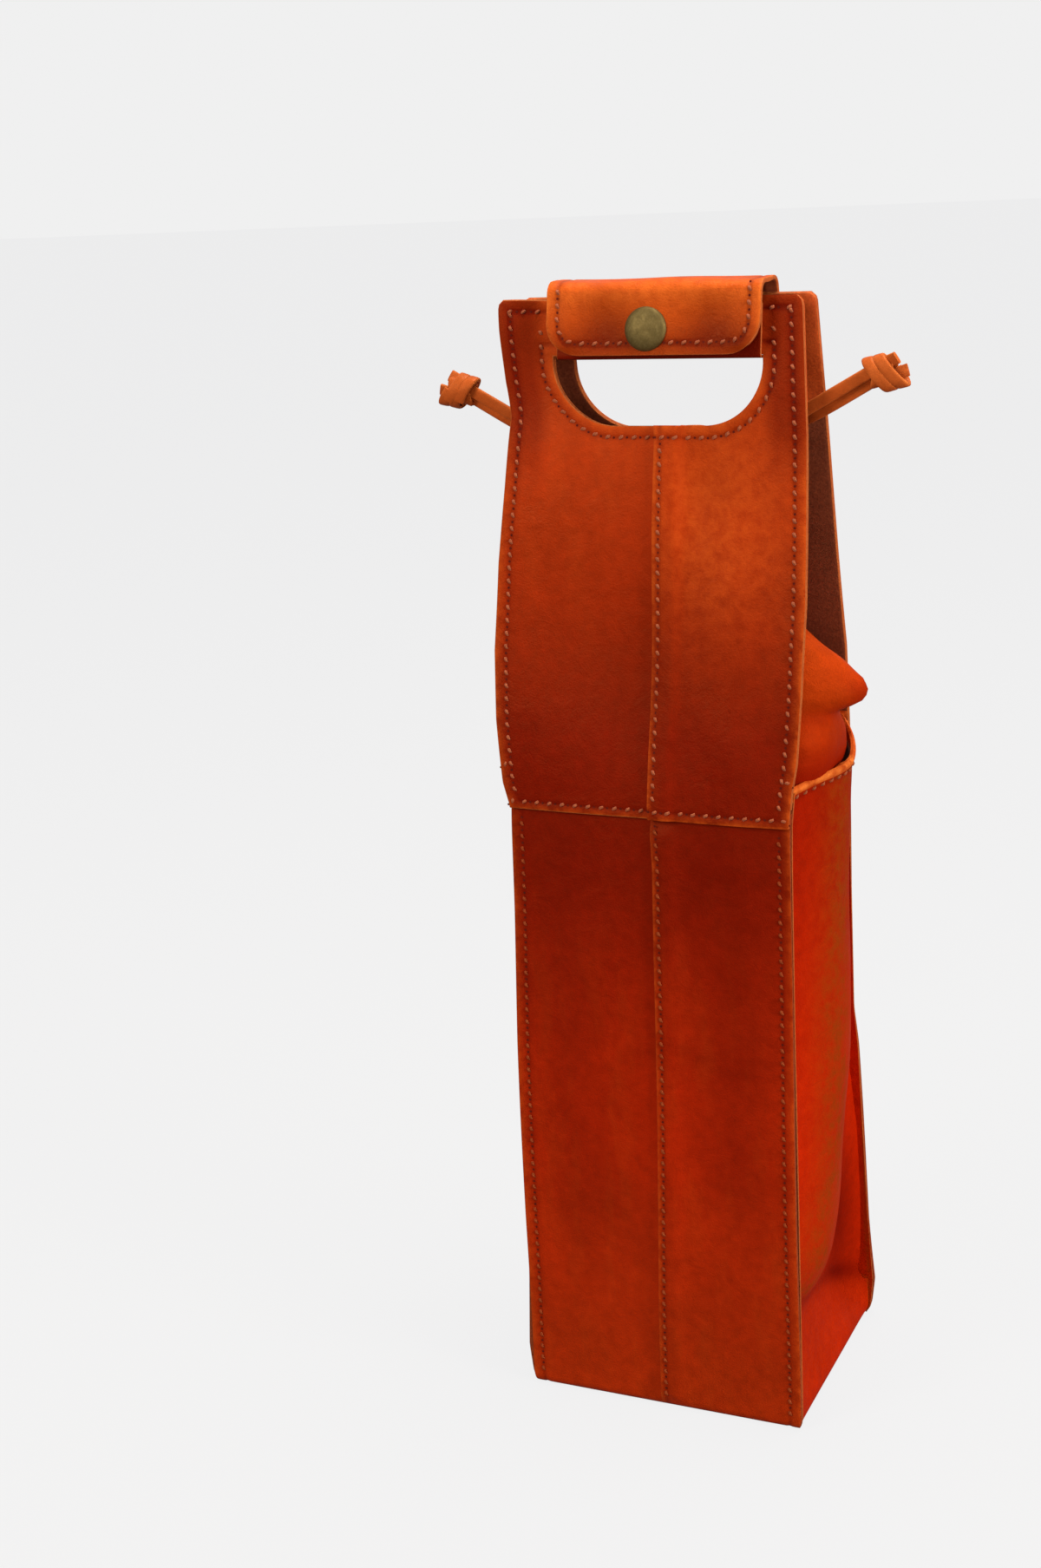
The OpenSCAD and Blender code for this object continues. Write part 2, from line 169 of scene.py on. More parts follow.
@contextlib.contextmanager
def editing(obj):
    """Edit mode with the whole mesh selected"""
    take(obj)
    bpy.ops.object.mode_set(mode="EDIT")
    bpy.ops.mesh.select_all(action="SELECT")
    yield
    bpy.ops.object.mode_set(mode="OBJECT")


def close_ends():
    """Fills the open ends of the mesh in edit mode"""
    bpy.ops.mesh.select_all(action="DESELECT")
    bpy.ops.mesh.select_non_manifold()
    bpy.ops.mesh.fill_holes(sides=0)
    bpy.ops.mesh.select_all(action="SELECT")
    bpy.ops.mesh.normals_make_consistent(inside=False)


def settle(obj):
    """Applies the modifiers and the object's place, so that its place is in its mesh"""
    take(obj)
    for modifier in list(obj.modifiers):
        bpy.ops.object.modifier_apply(modifier=modifier.name)
    bpy.ops.object.transform_apply(location=True, rotation=True, scale=True)


def shade(obj, degrees=48):
    """Smooth faces, with creases where the faces turn by more than an angle"""
    take(obj)
    bpy.ops.object.shade_smooth_by_angle(angle=math.radians(degrees))


def smooth(t):
    t = np.clip(t, 0, 1)
    return t * t * (3 - 2 * t)


def bump(t):
    return np.exp(-np.square(t))


def rise(value, start, reach):
    """Goes from 0 to 1 over a reach; value in metres, the others in mm"""
    return smooth((value - start * MM) / (reach * MM))


def hill(value, middle, reach):
    """Is 1 at the middle and fades to both sides; value in metres, the others in mm"""
    return bump((value - middle * MM) / (reach * MM))


def groove(row):
    """Depth of the furrow that a row of stitches draws into the leather"""
    return 0.22 * MM * hill(row, 0, 0.75)


def furrow_shade(row):
    """Painted shade in the furrow where a row of stitches presses the leather"""
    return hill(row, 0, 0.9)


def worn(rim, reach=1.3 * MM):
    """Wear at a distance from a cut edge"""
    return np.exp(-rim / reach)


def quarter(t):
    """Height of a quarter circle that starts flat at 0 and ends upright at 1"""
    return 1 - np.sqrt(1 - np.square(t))


def run_along(points):
    """Distances along a polyline, from its start to each of its points"""
    return np.concatenate(([0], np.cumsum(np.linalg.norm(np.diff(points, axis=0), axis=1))))


def at(way, distance, values):
    """Values of a polyline's columns at a distance along it"""
    return [np.interp(distance, way, values[:, i]) for i in range(values.shape[1])]


def resample(points, step=0.6 * MM):
    """The columns of a polyline, again at even distances"""
    way = run_along(points)
    return at(way, np.linspace(0, way[-1], max(8, int(way[-1] / step))), points)


def coordinates(mesh):
    flat = np.zeros(len(mesh.vertices) * 3)
    mesh.vertices.foreach_get("co", flat)
    return flat.reshape(-1, 3)


def merge(obj, distance=0.02 * MM):
    with editing(obj):
        bpy.ops.mesh.remove_doubles(threshold=distance)


def join(name, objects):
    deselect()
    for obj in objects:
        obj.select_set(True)
    bpy.context.view_layer.objects.active = objects[0]
    bpy.ops.object.join()
    objects[0].name = name
    return objects[0]


def add_wall(obj, thickness, even=True):
    """Thickness behind the faces; inner faces take the next material, cut edges the one after it"""
    wall = obj.modifiers.new("wall", "SOLIDIFY")
    wall.thickness = thickness
    wall.offset = -1
    wall.use_even_offset = even
    wall.material_offset = 1
    wall.material_offset_rim = 2


def add_rounding(obj, width, limit):
    rounding = obj.modifiers.new("rounding", "BEVEL")
    rounding.width = width
    rounding.segments = 2
    rounding.limit_method = limit
    rounding.angle_limit = math.radians(60)
    rounding.material = 2


def dress(obj, names):
    obj.data.materials.clear()
    for name in names:
        obj.data.materials.append(bpy.data.materials[name])
    return obj


def belongs(obj, body, slot, *nodes):
    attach(obj, body)
    if nodes:
        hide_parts(*nodes)
    return obj


def walled(obj, thickness, body, slot, node, edge=0.35 * MM, even=True):
    """Makes a dressed sheet a piece: thick behind its face, with rounded cut edges"""
    add_wall(obj, thickness, even)
    add_rounding(obj, edge, "ANGLE")
    settle(obj)
    shade(obj)
    return belongs(obj, body, slot, node)


# The leather's flat pattern, folded to the carrier's shape. A point is given by its distance across
# from the middle, its distance up the face from the base, and its distance out of the face.

FOLD_R = 3 * MM
STEP = 0.25 * MM
STEPS = np.arange(0, TOP_S + 12 * MM, STEP)
LEANS = LOW_LEAN + (UP_LEAN - LOW_LEAN) * smooth((STEPS - LOW_L) / (44 * MM) + 0.5)
DEPTHS = BASE_Y - np.concatenate(([0], np.cumsum(np.sin(LEANS[:-1])))) * STEP
HEIGHTS = np.concatenate(([0], np.cumsum(np.cos(LEANS[:-1])))) * STEP

# How far the edges and the centre seam wander sideways, as height along the face and shift, in mm
FRONT_LEFT = (
    (0, 0.6), (65, 0), (130, 0.2), (177, 0.9), (214, 1.1), (222, -1.3), (243, -3.5), (266, -4.4),
    (295, -3.2), (320, -1), (343, 0.6), (354, -1.2), (370, -2.4), (380, -2.8),
)
FRONT_MIDDLE = (
    (0, -0.5), (74, 0.6), (137, 1.7), (197, 2.4), (217, 1.3), (268, 1.4), (310, 1.4), (334, 1.7),
    (350, 0.6), (380, 0),
)
FRONT_RIGHT = (
    (0, 0), (81, -0.5), (142, -1), (178, -1.1), (213, -1.1), (226, -0.1), (234, 1.1), (256, 2.2),
    (284, 2.7), (337, 1.2), (358, 0), (380, -1.4),
)
BACK_RIGHT = (
    (0, 0), (14, 2), (40, 0.6), (110, -1.3), (125, -2.6), (175, -1.8), (213, -1.3), (260, 1), (380, 0.3),
)
BACK_MIDDLE = ((0, 0), (150, 1), (260, -1), (380, 0))
BACK_LEFT = ((0, 0), (90, 0.8), (213, 1), (270, -2.5), (340, -1), (380, 0))


def wander(table, s):
    heights, shifts = zip(*table)
    return np.interp(s, np.array(heights) * MM, np.array(shifts) * MM)


def sideways(x, s, face):
    left, middle, right = (
        (FRONT_LEFT, FRONT_MIDDLE, FRONT_RIGHT) if face < 0 else (BACK_LEFT, BACK_MIDDLE, BACK_RIGHT)
    )
    share = np.clip(np.abs(x) / HALF_W, 0, 1.2)
    side = np.where(x < 0, wander(left, s), wander(right, s))
    return wander(middle, s) * (1 - share) + side * share


# Single swellings of the front and of the back: how far out, place and reach across, place and
# reach up the face, in mm
FRONT_HILLS = (
    (1.6, 26, 12, 285, 26), (-1.5, 14, 8, 318, 11), (0.9, -24, 12, 130, 50), (-0.8, 22, 10, 165, 34),
)
BACK_HILLS = ((-1.0, -12, 12, 290, 16),)


def relief(x, s, face):
    """Soft swelling and hollows of the leather, out of its face"""
    x, s = x / MM, s / MM
    free = smooth(s / 40) * (1 - smooth((s - 332) / 22))
    ends = 0
    if face < 0:
        wave = 1.1 * np.sin(s / 15.5 + x / 38 + 0.4) * bump((x + 28) / 30) * smooth((s - 205) / 40)
        wave += 0.7 * np.sin(s / 27 - x / 21 + 1.1) + 0.4 * np.sin(x / 8.5 + s / 44)
        wave -= 0.9 * bump((x + 2 - (s - 250) / 9) / 7) * bump((s - 262) / 30)
        wave += 1.0 * bump((x - 30 + (s - 235) / 2) / 9) * bump((s - 236) / 12)
        ends = 4.2 * smooth((-x - 33) / 17) * smooth((s - 345) / 30)
        ends += 1.0 * smooth((x - 40) / 10) * bump((s - 268) / 26)
    else:
        wave = 0.7 * np.sin(s / 21 + x / 30 + 2) + 0.4 * np.sin(x / 9 - s / 50)
    for out, across, reach, up, height in FRONT_HILLS if face < 0 else BACK_HILLS:
        wave += out * bump((x - across) / reach) * bump((s - up) / height)
    return (wave * free + ends) * MM


def place(x, s, n, face):
    """Points of the model for points of the pattern; face is -1 in front and 1 at the back"""
    x, s, n = np.broadcast_arrays(*(np.asarray(v, float) for v in (x, s, n)))
    lean = np.interp(s, STEPS, LEANS)
    depth, height = np.interp(s, STEPS, DEPTHS), np.interp(s, STEPS, HEIGHTS)
    turn = np.clip(s / FOLD_R, 0, 1) * math.pi / 2
    in_fold = s < FOLD_R
    depth = np.where(in_fold, depth - FOLD_R * (1 - np.sin(turn)), depth)
    height = np.where(in_fold, FOLD_R * (1 - np.cos(turn)), height)
    out = n + relief(x, s, face)
    y = depth + out * np.cos(lean) * np.sin(turn)
    z = height + out * (np.sin(lean) * np.sin(turn) - np.cos(turn))
    low = np.clip(1 - s / (5 * MM), 0, 1)
    high = np.clip(1 - (TOP_S - s) / (3.5 * MM), 0, 1)
    corner = -(2.4 * quarter(low) + 1.9 * quarter(high)) * MM * np.clip(x / (50 * MM), -1, 1) ** 3
    return np.stack((x + sideways(x, s, face) + corner, face * y, np.maximum(z, 0)), axis=-1)


def faces_outward(layout, outward):
    """Whether a layout of rows and columns has its faces on the outward side"""
    r, c = layout.shape[0] // 2, layout.shape[1] // 2
    normal = np.cross(layout[r, c] - layout[r, c - 1], layout[r, c] - layout[r - 1, c])
    return float(np.dot(normal, outward)) > 0


def sheet(name, layout, outward, **marks):
    """A mesh through a layout of points, with its marks as attributes of the points"""
    flip = not faces_outward(layout, outward)
    turned = layout[:, ::-1] if flip else layout
    rows, cols = turned.shape[:2]
    deselect()
    bpy.ops.mesh.primitive_grid_add(x_subdivisions=cols - 1, y_subdivisions=rows - 1, size=2)
    obj = bpy.context.object
    obj.name = name
    start = coordinates(obj.data)
    col = np.rint((start[:, 0] + 1) / 2 * (cols - 1)).astype(int)
    row = np.rint((start[:, 1] + 1) / 2 * (rows - 1)).astype(int)
    obj.data.vertices.foreach_set("co", turned[row, col].ravel())
    for mark, values in marks.items():
        values = np.broadcast_to(values, layout.shape[:2])
        values = values[:, ::-1] if flip else values
        attribute = obj.data.attributes.new(mark, "FLOAT", "POINT")
        attribute.data.foreach_set("value", values[row, col].astype(np.float32))
    obj.data.update()
    return obj


# Columns of points beside a cut edge and beside the centre seam, close together along the stitches
EDGE_COLUMNS = np.array([0, 1.3, 2.7, 3.3, 3.8, 4.3, 4.9, 6.4]) * MM
SEAM_COLUMNS = np.array([0, 0.8, 1.4, 2, 2.6, 3.2, 4, 5, 6.5, 8.5, 11]) * MM
# Distance of the foot's stitches from the edge as a share of that at the sides, and the slot's flat run
FOOT_SHARE = 0.68
SLOT_FLAT = 4 * MM
# A distance that counts as far from every edge
FAR = 20 * MM


def slot_line(side, offset, top, turn, bottom, drop):
    """A line round half the hand slot at an offset: along its top, down its side, and along its foot.
    top and turn hold shares of the way, bottom holds shares of the way with the end of the line"""
    p = sizes()
    reach = p.slot_width / 2 + side * p.shift
    bar_s = TOP_S - p.bar
    foot = bar_s - p.slot_depth - drop
    straight = p.slot_depth + drop - p.slot_radius + offset
    radius = p.slot_radius + offset
    arc = radius * math.pi / 2
    points = [(t * (reach + offset), bar_s + offset) for t in top]
    for t in turn:
        way = t * (straight + arc + SLOT_FLAT)
        if way < straight:
            points.append((reach + offset, bar_s + offset - way))
        elif way < straight + arc:
            a = (way - straight) / radius
            points.append((
                reach - p.slot_radius + radius * math.cos(a), foot + p.slot_radius - radius * math.sin(a),
            ))
        else:
            points.append((reach - p.slot_radius - (way - straight - arc), foot - offset))
    start = reach - p.slot_radius - SLOT_FLAT
    points += [(start + (end - start) * t, foot - offset) for t, end in bottom]
    return np.array(points)


def rim_line(offset, foot, top, turn, bottom):
    """A line inside the edge of a panel at an offset: along its top, down its side, and along its foot"""
    x, high, low = HALF_W - offset, TOP_S - offset, foot + offset * FOOT_SHARE
    points = [(t * x, high) for t in top]
    points += [(x, high - t * (high - low)) for t in turn]
    points += [(x + (end - x) * t, low) for t, end in bottom]
    return np.array(points)


def round_slot(side, foot, end, margin, drop):
    """Pattern points of a panel piece that runs round the hand slot, with each point's distance from
    the cut edges and from the nearest row of stitches. With a margin, the centre seam is such an edge"""
    top = np.concatenate(([0, 0.03], np.linspace(0.06, 1, 26)))
    turn = np.linspace(0, 1, 121)[1:]
    bottom = [(t, end + 6 * MM) for t in np.linspace(0, 1, 30)[1:]]
    bottom += [(1, end + d * MM) for d in (5, 4, 3.2, 2.6, 2, 1.4, 0.8, 0)]
    bend = 1 - (1 - turn) ** 2.1
    inner = [slot_line(side, d, top, bend, bottom, drop) for d in EDGE_COLUMNS]
    outer = [rim_line(d, foot, top, turn, bottom) for d in EDGE_COLUMNS[::-1]]
    shares = np.linspace(0, 1, 25)[1:-1]
    middle = [inner[-1] * (1 - t) + outer[0] * t for t in shares]
    layout = np.stack(inner + middle + outer, axis=1)
    rims = np.concatenate((EDGE_COLUMNS, np.full(len(shares), FAR), EDGE_COLUMNS[::-1]))
    rims = np.broadcast_to(rims, layout.shape[:2])
    seam = np.where(layout[..., 1] < TOP_S - 25 * MM, layout[..., 0] - end, FAR) if margin else FAR
    row = np.minimum(np.abs(rims - sew_line()), np.abs(seam - 2 * MM))
    return layout, np.minimum(rims, seam), row


def slot_drop(face):
    """How much lower the slot of the back panel hangs"""
    return 4 * MM if face > 0 else 0.0


def seam_end(side):
    """Where a piece ends at the centre seam: the left ones run on under the right ones"""
    return 0 if side > 0 else LAP_EASE - sizes().seam_lap


def lap(x, s, side):
    """How far a right piece is lifted where it lies over a left one"""
    if side < 0:
        return np.zeros_like(x)
    lifted = sizes().leather * (1 - rise(x - sizes().seam_lap, 0, 5))
    return lifted * (s < TOP_S - 30 * MM) * rise(s, 1, 5)


def upper_painted_shade(x, s):
    """Painted shade on the upper pieces: beside the wrap and the slot, and along the middle"""
    return 1.5 * rise(x, 34, 7) * rise(s - TOP_S, -66, 30) + 0.5 * hill(x, 0, 9) * hill(s, 275, 30)


def upper_piece(name, side, face, body):
    """One upper panel piece, with its half of the slot and its bead along the cut edges"""
    p = sizes()
    layout, rim, row = round_slot(side, LOW_L + UPPER_GAP, seam_end(side), side > 0, slot_drop(face))
    x, s = layout[..., 0], layout[..., 1]
    x = np.where(s > TOP_S - p.bar - 1 * MM, np.maximum(x, 0), x)
    bead = 0.12 * MM * hill(rim, 1.6, 1.1)
    # A painted highlight on the right piece below the slot, carried with the edge wear
    highlight_and_wear = 0.6 * hill(x, 20, 24) * hill(s, 310, 30) * (side > 0)
    obj = sheet(
        f"{name}_leather", place(side * x, s, p.leather + lap(x, s, side) - groove(row) + bead, face),
        (0, face, 0.1), rim=np.clip(worn(rim) + highlight_and_wear, 0, 1), dent=furrow_shade(row) + upper_painted_shade(x, s),
    )
    return walled(dress(obj, SHELL), p.leather, body, "shell_leather", name)


def lower_piece(name, side, face):
    """One lower panel piece, folded under the base at its foot and pressed flat under the upper piece"""
    p = sizes()
    end = seam_end(side)
    xs = np.concatenate((end + SEAM_COLUMNS, np.linspace(14, 40, 12) * MM, HALF_W - EDGE_COLUMNS[::-1]))
    heights = np.concatenate((
        np.array([0, 0.5, 1, 1.5, 2, 2.5, 3, 3.6, 4.5]) * MM, np.linspace(6 * MM, LOW_L - 3 * MM, 98),
        LOW_L + np.array([-1.5, 0, 1.6, 3.2, 5]) * MM,
    ))
    x, s = np.meshgrid(xs, heights)
    rim = np.minimum(HALF_W - x, FAR)
    seam = x - end if side > 0 else np.full_like(x, FAR)
    row = np.minimum(np.abs(rim - sew_line()), np.abs(seam - 2 * MM))
    under = rise(s - LOW_L, -5, 5)
    n = lap(x, s, side) * (1 - under) - groove(row) * (s < LOW_L) - 0.12 * MM * under
    # Painted shade in the stitch furrows, a painted shadow along the top under the upper piece's lap, and a
    # broad darker patch low on each piece
    dent = furrow_shade(row) + 0.8 * hill(s - LOW_L, 0, 1.2) + 0.5 * hill(x, 30, 12) * hill(s, 120, 70)
    obj = sheet(
        f"{name}_leather", place(side * x, s, n, face), (0, face, 0.1),
        rim=0.6 * worn(np.minimum(rim, seam)), dent=dent,
    )
    dress(obj, ("shell leather", "flesh side", "dark edge"))
    return walled(obj, p.leather, "body", "shell_leather", name)


def lining(name, face, body):
    """The suede behind an upper panel, with painted light on its inner side beside its upper corners"""
    p = sizes()
    halves = []
    for side, _ in HANDS:
        layout, rim, _ = round_slot(side, LOW_L + 6.2 * MM, 0, False, slot_drop(face))
        points = place(side * layout[..., 0], layout[..., 1], -0.05 * MM, face)
        half = sheet(name, points, (0, face, 0.1), rim=worn(rim), dent=0)
        # Faces beside the upper corners take the third material, so that their inner side shows the fourth:
        # painted light, where light falls in at the top
        dress(half, ("lining skin", "suede", "cut edge", "painted light on lining"))
        for polygon in half.data.polygons:
            if abs(polygon.center.x) > 44 * MM and polygon.center.z > 342 * MM:
                polygon.material_index = 2
        halves.append(half)
    obj = join(f"{name}_suede", halves)
    merge(obj)
    return walled(obj, p.lining - 0.05 * MM, body, "suede_lining", name, edge=0.25 * MM)


# Stitches


def stitch(thread_material):
    """One stitch along the x axis, slanting and drawn into its holes, with a dark disc at its end as
    painted shade in the needle hole
    """
    p = sizes()
    half = p.pitch * 0.22
    deselect()
    bpy.ops.mesh.primitive_circle_add(
        vertices=7, radius=p.thread / 2, fill_type="NGON", location=(-half, 0, 0),
        rotation=(0, math.pi / 2, 0),
    )
    thread = bpy.context.object
    with editing(thread):
        for _ in range(6):
            bpy.ops.mesh.extrude_region_move(TRANSFORM_OT_translate={"value": (half / 3, 0, 0)})
        bpy.ops.mesh.select_all(action="SELECT")
        bpy.ops.mesh.normals_make_consistent(inside=False)
        bpy.ops.mesh.faces_shade_smooth()
    settle(thread)
    points = coordinates(thread.data)
    share = points[:, 0] / half
    points[:, 1:] *= (1 - 0.55 * share ** 4)[:, None]
    points[:, 2] += 0.34 * MM * (1 - 2.2 * np.square(share))
    points[:, 1] = points[:, 1] * 1.4 + 0.4 * points[:, 0]
    thread.data.vertices.foreach_set("co", points.ravel())
    deselect()
    bpy.ops.mesh.primitive_circle_add(
        vertices=8, radius=0.4 * MM, fill_type="NGON", location=(p.pitch / 2, 0, 0.07 * MM)
    )
    hole_shade = bpy.context.object
    settle(hole_shade)
    dress(thread, (thread_material,))
    dress(hole_shade, ("needle hole shade",))
    return join("stitch", [thread, hole_shade])


def along_face(x, s, n, face):
    """Points and normals along a polyline of the pattern"""
    x, s = resample(np.stack((x, s), axis=-1))
    n = n + np.where(x > 0, lap(x, s, 1), 0)
    points = place(x, s, n, face)
    normals = place(x, s, n + 1 * MM, face) - points
    return points, normals / np.linalg.norm(normals, axis=1)[:, None]


def sew(name, rows, body, thread_material="thread"):
    """Copies of one stitch along rows of points, joined into one piece"""
    pattern = stitch(thread_material)
    copies = []
    for points, normals in rows:
        way = run_along(points)
        count = max(1, int(way[-1] / sizes().pitch))
        step = way[-1] / count
        for i in range(count):
            middle = (i + 0.5) * step
            ahead = Vector(at(way, middle + 0.3 * step, points))
            along = (ahead - Vector(at(way, middle - 0.3 * step, points))).normalized()
            across = Vector(at(way, middle, normals)).cross(along).normalized()
            turn = Matrix((along, across, along.cross(across))).transposed().to_4x4()
            copy = pattern.copy()
            copy.data = pattern.data.copy()
            copy.matrix_world = Matrix.Translation(Vector(at(way, middle, points))) @ turn
            copies.append(link_to_scene(copy))
    bpy.data.objects.remove(pattern)
    obj = join(name, copies)
    settle(obj)
    return belongs(obj, body, "lace_leather")


def slot_row(side, offset, drop):
    """Pattern line of the stitches round half the slot, from the bar down and along its foot"""
    line = slot_line(side, offset, [], np.linspace(0, 1, 60), [(1, 0.4 * MM)], drop)
    line = np.concatenate(([(line[0][0], TOP_S - offset - sizes().pitch)], line))
    return side * line[:, 0], line[:, 1]


def lower_rows(face):
    """Stitches of a lower panel: along its two side edges and beside the centre seam"""
    edge = HALF_W - sew_line()
    lines = ((-edge, 3), (edge, 3), (2 * MM, 2))
    return [along_face([x, x], [4 * MM, LOW_L - end * MM], -THREAD_SINK, face) for x, end in lines]


def upper_rows(face):
    """Stitches of an upper panel: its sides, foot, top corners, corner ties, slot and centre seam"""
    p = sizes()
    inset = sew_line()
    low = LOW_L + UPPER_GAP + 2.6 * MM
    lines = []
    for side, _ in HANDS:
        x = side * (HALF_W - inset)
        beside_wrap = side * (37 if side > 0 else 36) * MM
        lines += [
            ([x, x], [low + 2 * MM, TOP_S - 2.6 * MM]),
            ([x, side * 0.4 * MM], [low, low]),
            ([beside_wrap, side * (HALF_W - 1.5 * MM)], [TOP_S - inset] * 2),
        ]
        for foot in (low - 0.8 * MM, low + 11.5 * MM):
            lines.append(([x + side * 0.8 * MM, side * (HALF_W - 0.7 * MM)], [foot + 1.6 * MM, foot]))
        lines.append(slot_row(side, inset, slot_drop(face)))
    slot_foot = TOP_S - p.bar - p.slot_depth - slot_drop(face)
    lines.append(([2 * MM] * 2, [LOW_L + 5 * MM, slot_foot - inset - 2 * MM]))
    return [along_face(x, s, p.leather - THREAD_SINK, face) for x, s in lines]


def cast_row(obj, rays):
    """Points and normals where rays meet a finished piece, a little below its face"""
    corners = [vertex.co.copy() for vertex in obj.data.vertices]
    tree = BVHTree.FromPolygons(corners, [tuple(polygon.vertices) for polygon in obj.data.polygons])
    hits = [tree.ray_cast(Vector(start), Vector(way)) for start, way in rays]
    hits = [(point - normal * 0.1 * MM, normal) for point, normal, _, _ in hits if point]
    points, normals = zip(*hits)
    return np.array(points), np.array(normals)


# Soft sides


def inner_depth(z):
    """Half the clear depth between the panels at a height"""
    p = sizes()
    s = np.interp(z, HEIGHTS, STEPS)
    wall = np.where(z < SEAM_Z, p.leather, p.lining) / np.cos(np.interp(s, STEPS, LEANS))
    return np.interp(s, STEPS, DEPTHS) - wall - 0.15 * MM


# Half widths of a gusset from its front seam to its back seam, at heights above the crease over the base
GUSSET_ROWS = (
    (0, (45.0, 43.2, 42.3, 42.0, 41.8, 41.5, 41.5, 42.3, 45.0)),
    (7, (45.2, 46.0, 48.0, 47.0, 45.5, 43.5, 42.0, 43.0, 47.0)),
    (18, (45.2, 48.5, 52.0, 51.5, 49.5, 46.0, 43.0, 43.5, 47.6)),
    (35, (45.2, 48.2, 52.5, 54.0, 52.5, 48.0, 44.0, 44.0, 48.0)),
    (60, (45.2, 48.0, 52.2, 55.2, 54.6, 51.0, 46.5, 45.5, 47.6)),
    (90, (45.2, 47.8, 51.8, 55.6, 56.2, 54.2, 50.0, 46.5, 45.2)),
    (130, (45.2, 47.8, 51.5, 55.3, 56.8, 56.0, 52.5, 48.0, 45.2)),
    (175, (45.2, 47.6, 51.0, 54.6, 56.8, 56.6, 53.5, 48.5, 45.2)),
    (205, (45.2, 47.6, 50.8, 54.2, 56.4, 56.0, 53.0, 48.5, 45.2)),
)
# Half widths of the columns in the flange that is turned outward and sewn to the panels, in mm
FLANGE = (50, 49, 47.6, 46.2)
HEM_Z = 222


def hem_lift(turned):
    """How far the hem rises over its level height in mm, from the front (-1) to the back (1)"""
    back, front = smooth((turned - 0.2) / 0.75), smooth((-turned - 0.3) / 0.6)
    return 10 * back - 1.0 * front + 0.8 * bump(turned / 0.8)


def gusset(name, side):
    """A soft side wall, folded over the base, hollow at its back corner and hemmed at its top"""
    z = np.concatenate((
        [1.0, 1.8, 2.8, 4], np.linspace(6, 214, 100),
        [216, 218, 219.4, 220.2, 220.8, 221.4, 222, 222.6, 223.2, 223.8, 224.3, 224.6, 224.8],
    ))
    bow = math.pi / 2 * 0.92
    u = np.sin(np.linspace(-1, 1, 45) * bow) / math.sin(bow)
    u = np.concatenate(([-1] * len(FLANGE), u, [1] * len(FLANGE)))
    zz, uu = np.meshgrid(z, u, indexing="ij")
    fullness, strength = (1, 1) if side > 0 else (0.85, 0.75)
    turned = uu * side
    crease = 30 - 12 * turned + 1.6 * np.sin(turned * 4 + 0.6)
    facet = 49.8 - 8 * np.clip(zz / crease, 0, 1) ** 1.15 * (1 - np.abs(uu) ** 8)
    levels, rows = zip(*GUSSET_ROWS)
    across = np.linspace(-1, 1, 9)
    by_column = np.array([np.interp(turned[0], across, row) for row in rows])
    x = np.stack([
        np.interp(zz[:, col] - crease[:, col], levels, by_column[:, col]) for col in range(len(u))
    ], axis=1)
    x = np.where(zz < crease, facet, 50 + (x - 50) * fullness)
    # The steps between the table's rows are evened out, but not at the seams and in the flange
    k = len(FLANGE) + 1
    for _ in range(7):
        near = x[:-2, k:-k] + x[2:, k:-k] + x[1:-1, k - 1:-k - 1] + x[1:-1, k + 1:-k + 1]
        x[1:-1, k:-k] = (x[1:-1, k:-k] * 2 + near) / 6
    # Ripples of the wall, the full back corner of the mouth, and the rolled hem
    ripple = smooth((zz - 70) / 30) * (1 - smooth((zz - 200) / 14)) * (1 - uu ** 4)
    x += strength * 0.5 * np.sin(zz / 17 + turned * 2.2) * ripple
    x += strength * 2.8 * bump((turned - 0.62) / 0.36) * bump((zz - 224) / 16)
    for out, start, reach in ((0.7, 220.4, 1.2), (0.6, HEM_Z, 1), (-0.9, 223.6, 1.4)):
        x += out * smooth((zz - start) / reach)
    for i, width in enumerate(FLANGE):
        for col, table in ((i, FRONT_RIGHT), (-1 - i, BACK_RIGHT)):
            x[:, col] = np.maximum(x[:, col], width + wander(table, z * MM) / MM * 0.8)
    x -= 2.4 * quarter(np.clip(1 - zz / 5, 0, 1))
    y = uu * (inner_depth(zz * MM) - sizes().soft)
    lifted = zz + hem_lift(turned) * smooth((zz - 195) / 25)
    layout = np.stack((side * x * MM, side * y, lifted * MM), axis=-1)
    # Rubbed at the flange's edges; painted highlights on the rolled hem and along the upright ridge,
    # painted light on the facet below the crease; painted shadow under the hem, painted shade at the
    # crease, along the front seam and in the hollow
    ridge = -0.22 - 0.35 * np.clip((95 - lifted) / 50, 0, 1) + 0.25 * smooth((lifted - 140) / 70)
    rim = bump((50 - x) / 0.4 ** 0.5) * (np.abs(uu) > 0.999) + bump((zz - 223.4) / 1.2)
    rim += 0.9 * bump((turned - ridge) / 0.34) * smooth((lifted - crease) / 8)
    rim += 0.12 * (lifted < crease) * smooth(lifted / 12)
    dent = 0.5 * bump((zz - 220.6) / 0.8) + bump((lifted - crease - 1.5) / 4) * (np.abs(uu) < 1)
    dent += 0.8 * bump((1 + turned) / 0.05)
    dent += 1.7 * bump((turned - 0.62) / 0.36) * bump((lifted - crease - 26) / 32)
    obj = sheet(f"{name}_leather", layout, (side, 0, 0), rim=np.clip(rim, 0, 1), dent=dent)
    dress(obj, ("gusset leather", "flesh side", "cut edge", "collar leather", "collar leather"))
    # The faces above the hem take the brighter collar leather: a painted highlight on the rolled hem
    for polygon in obj.data.polygons:
        if polygon.center.z > (HEM_Z + hem_lift(polygon.center.y / (33 * MM))) * MM:
            polygon.material_index = 3
    return walled(obj, sizes().soft, "body", "shell_leather", name, edge=0.25 * MM, even=False)


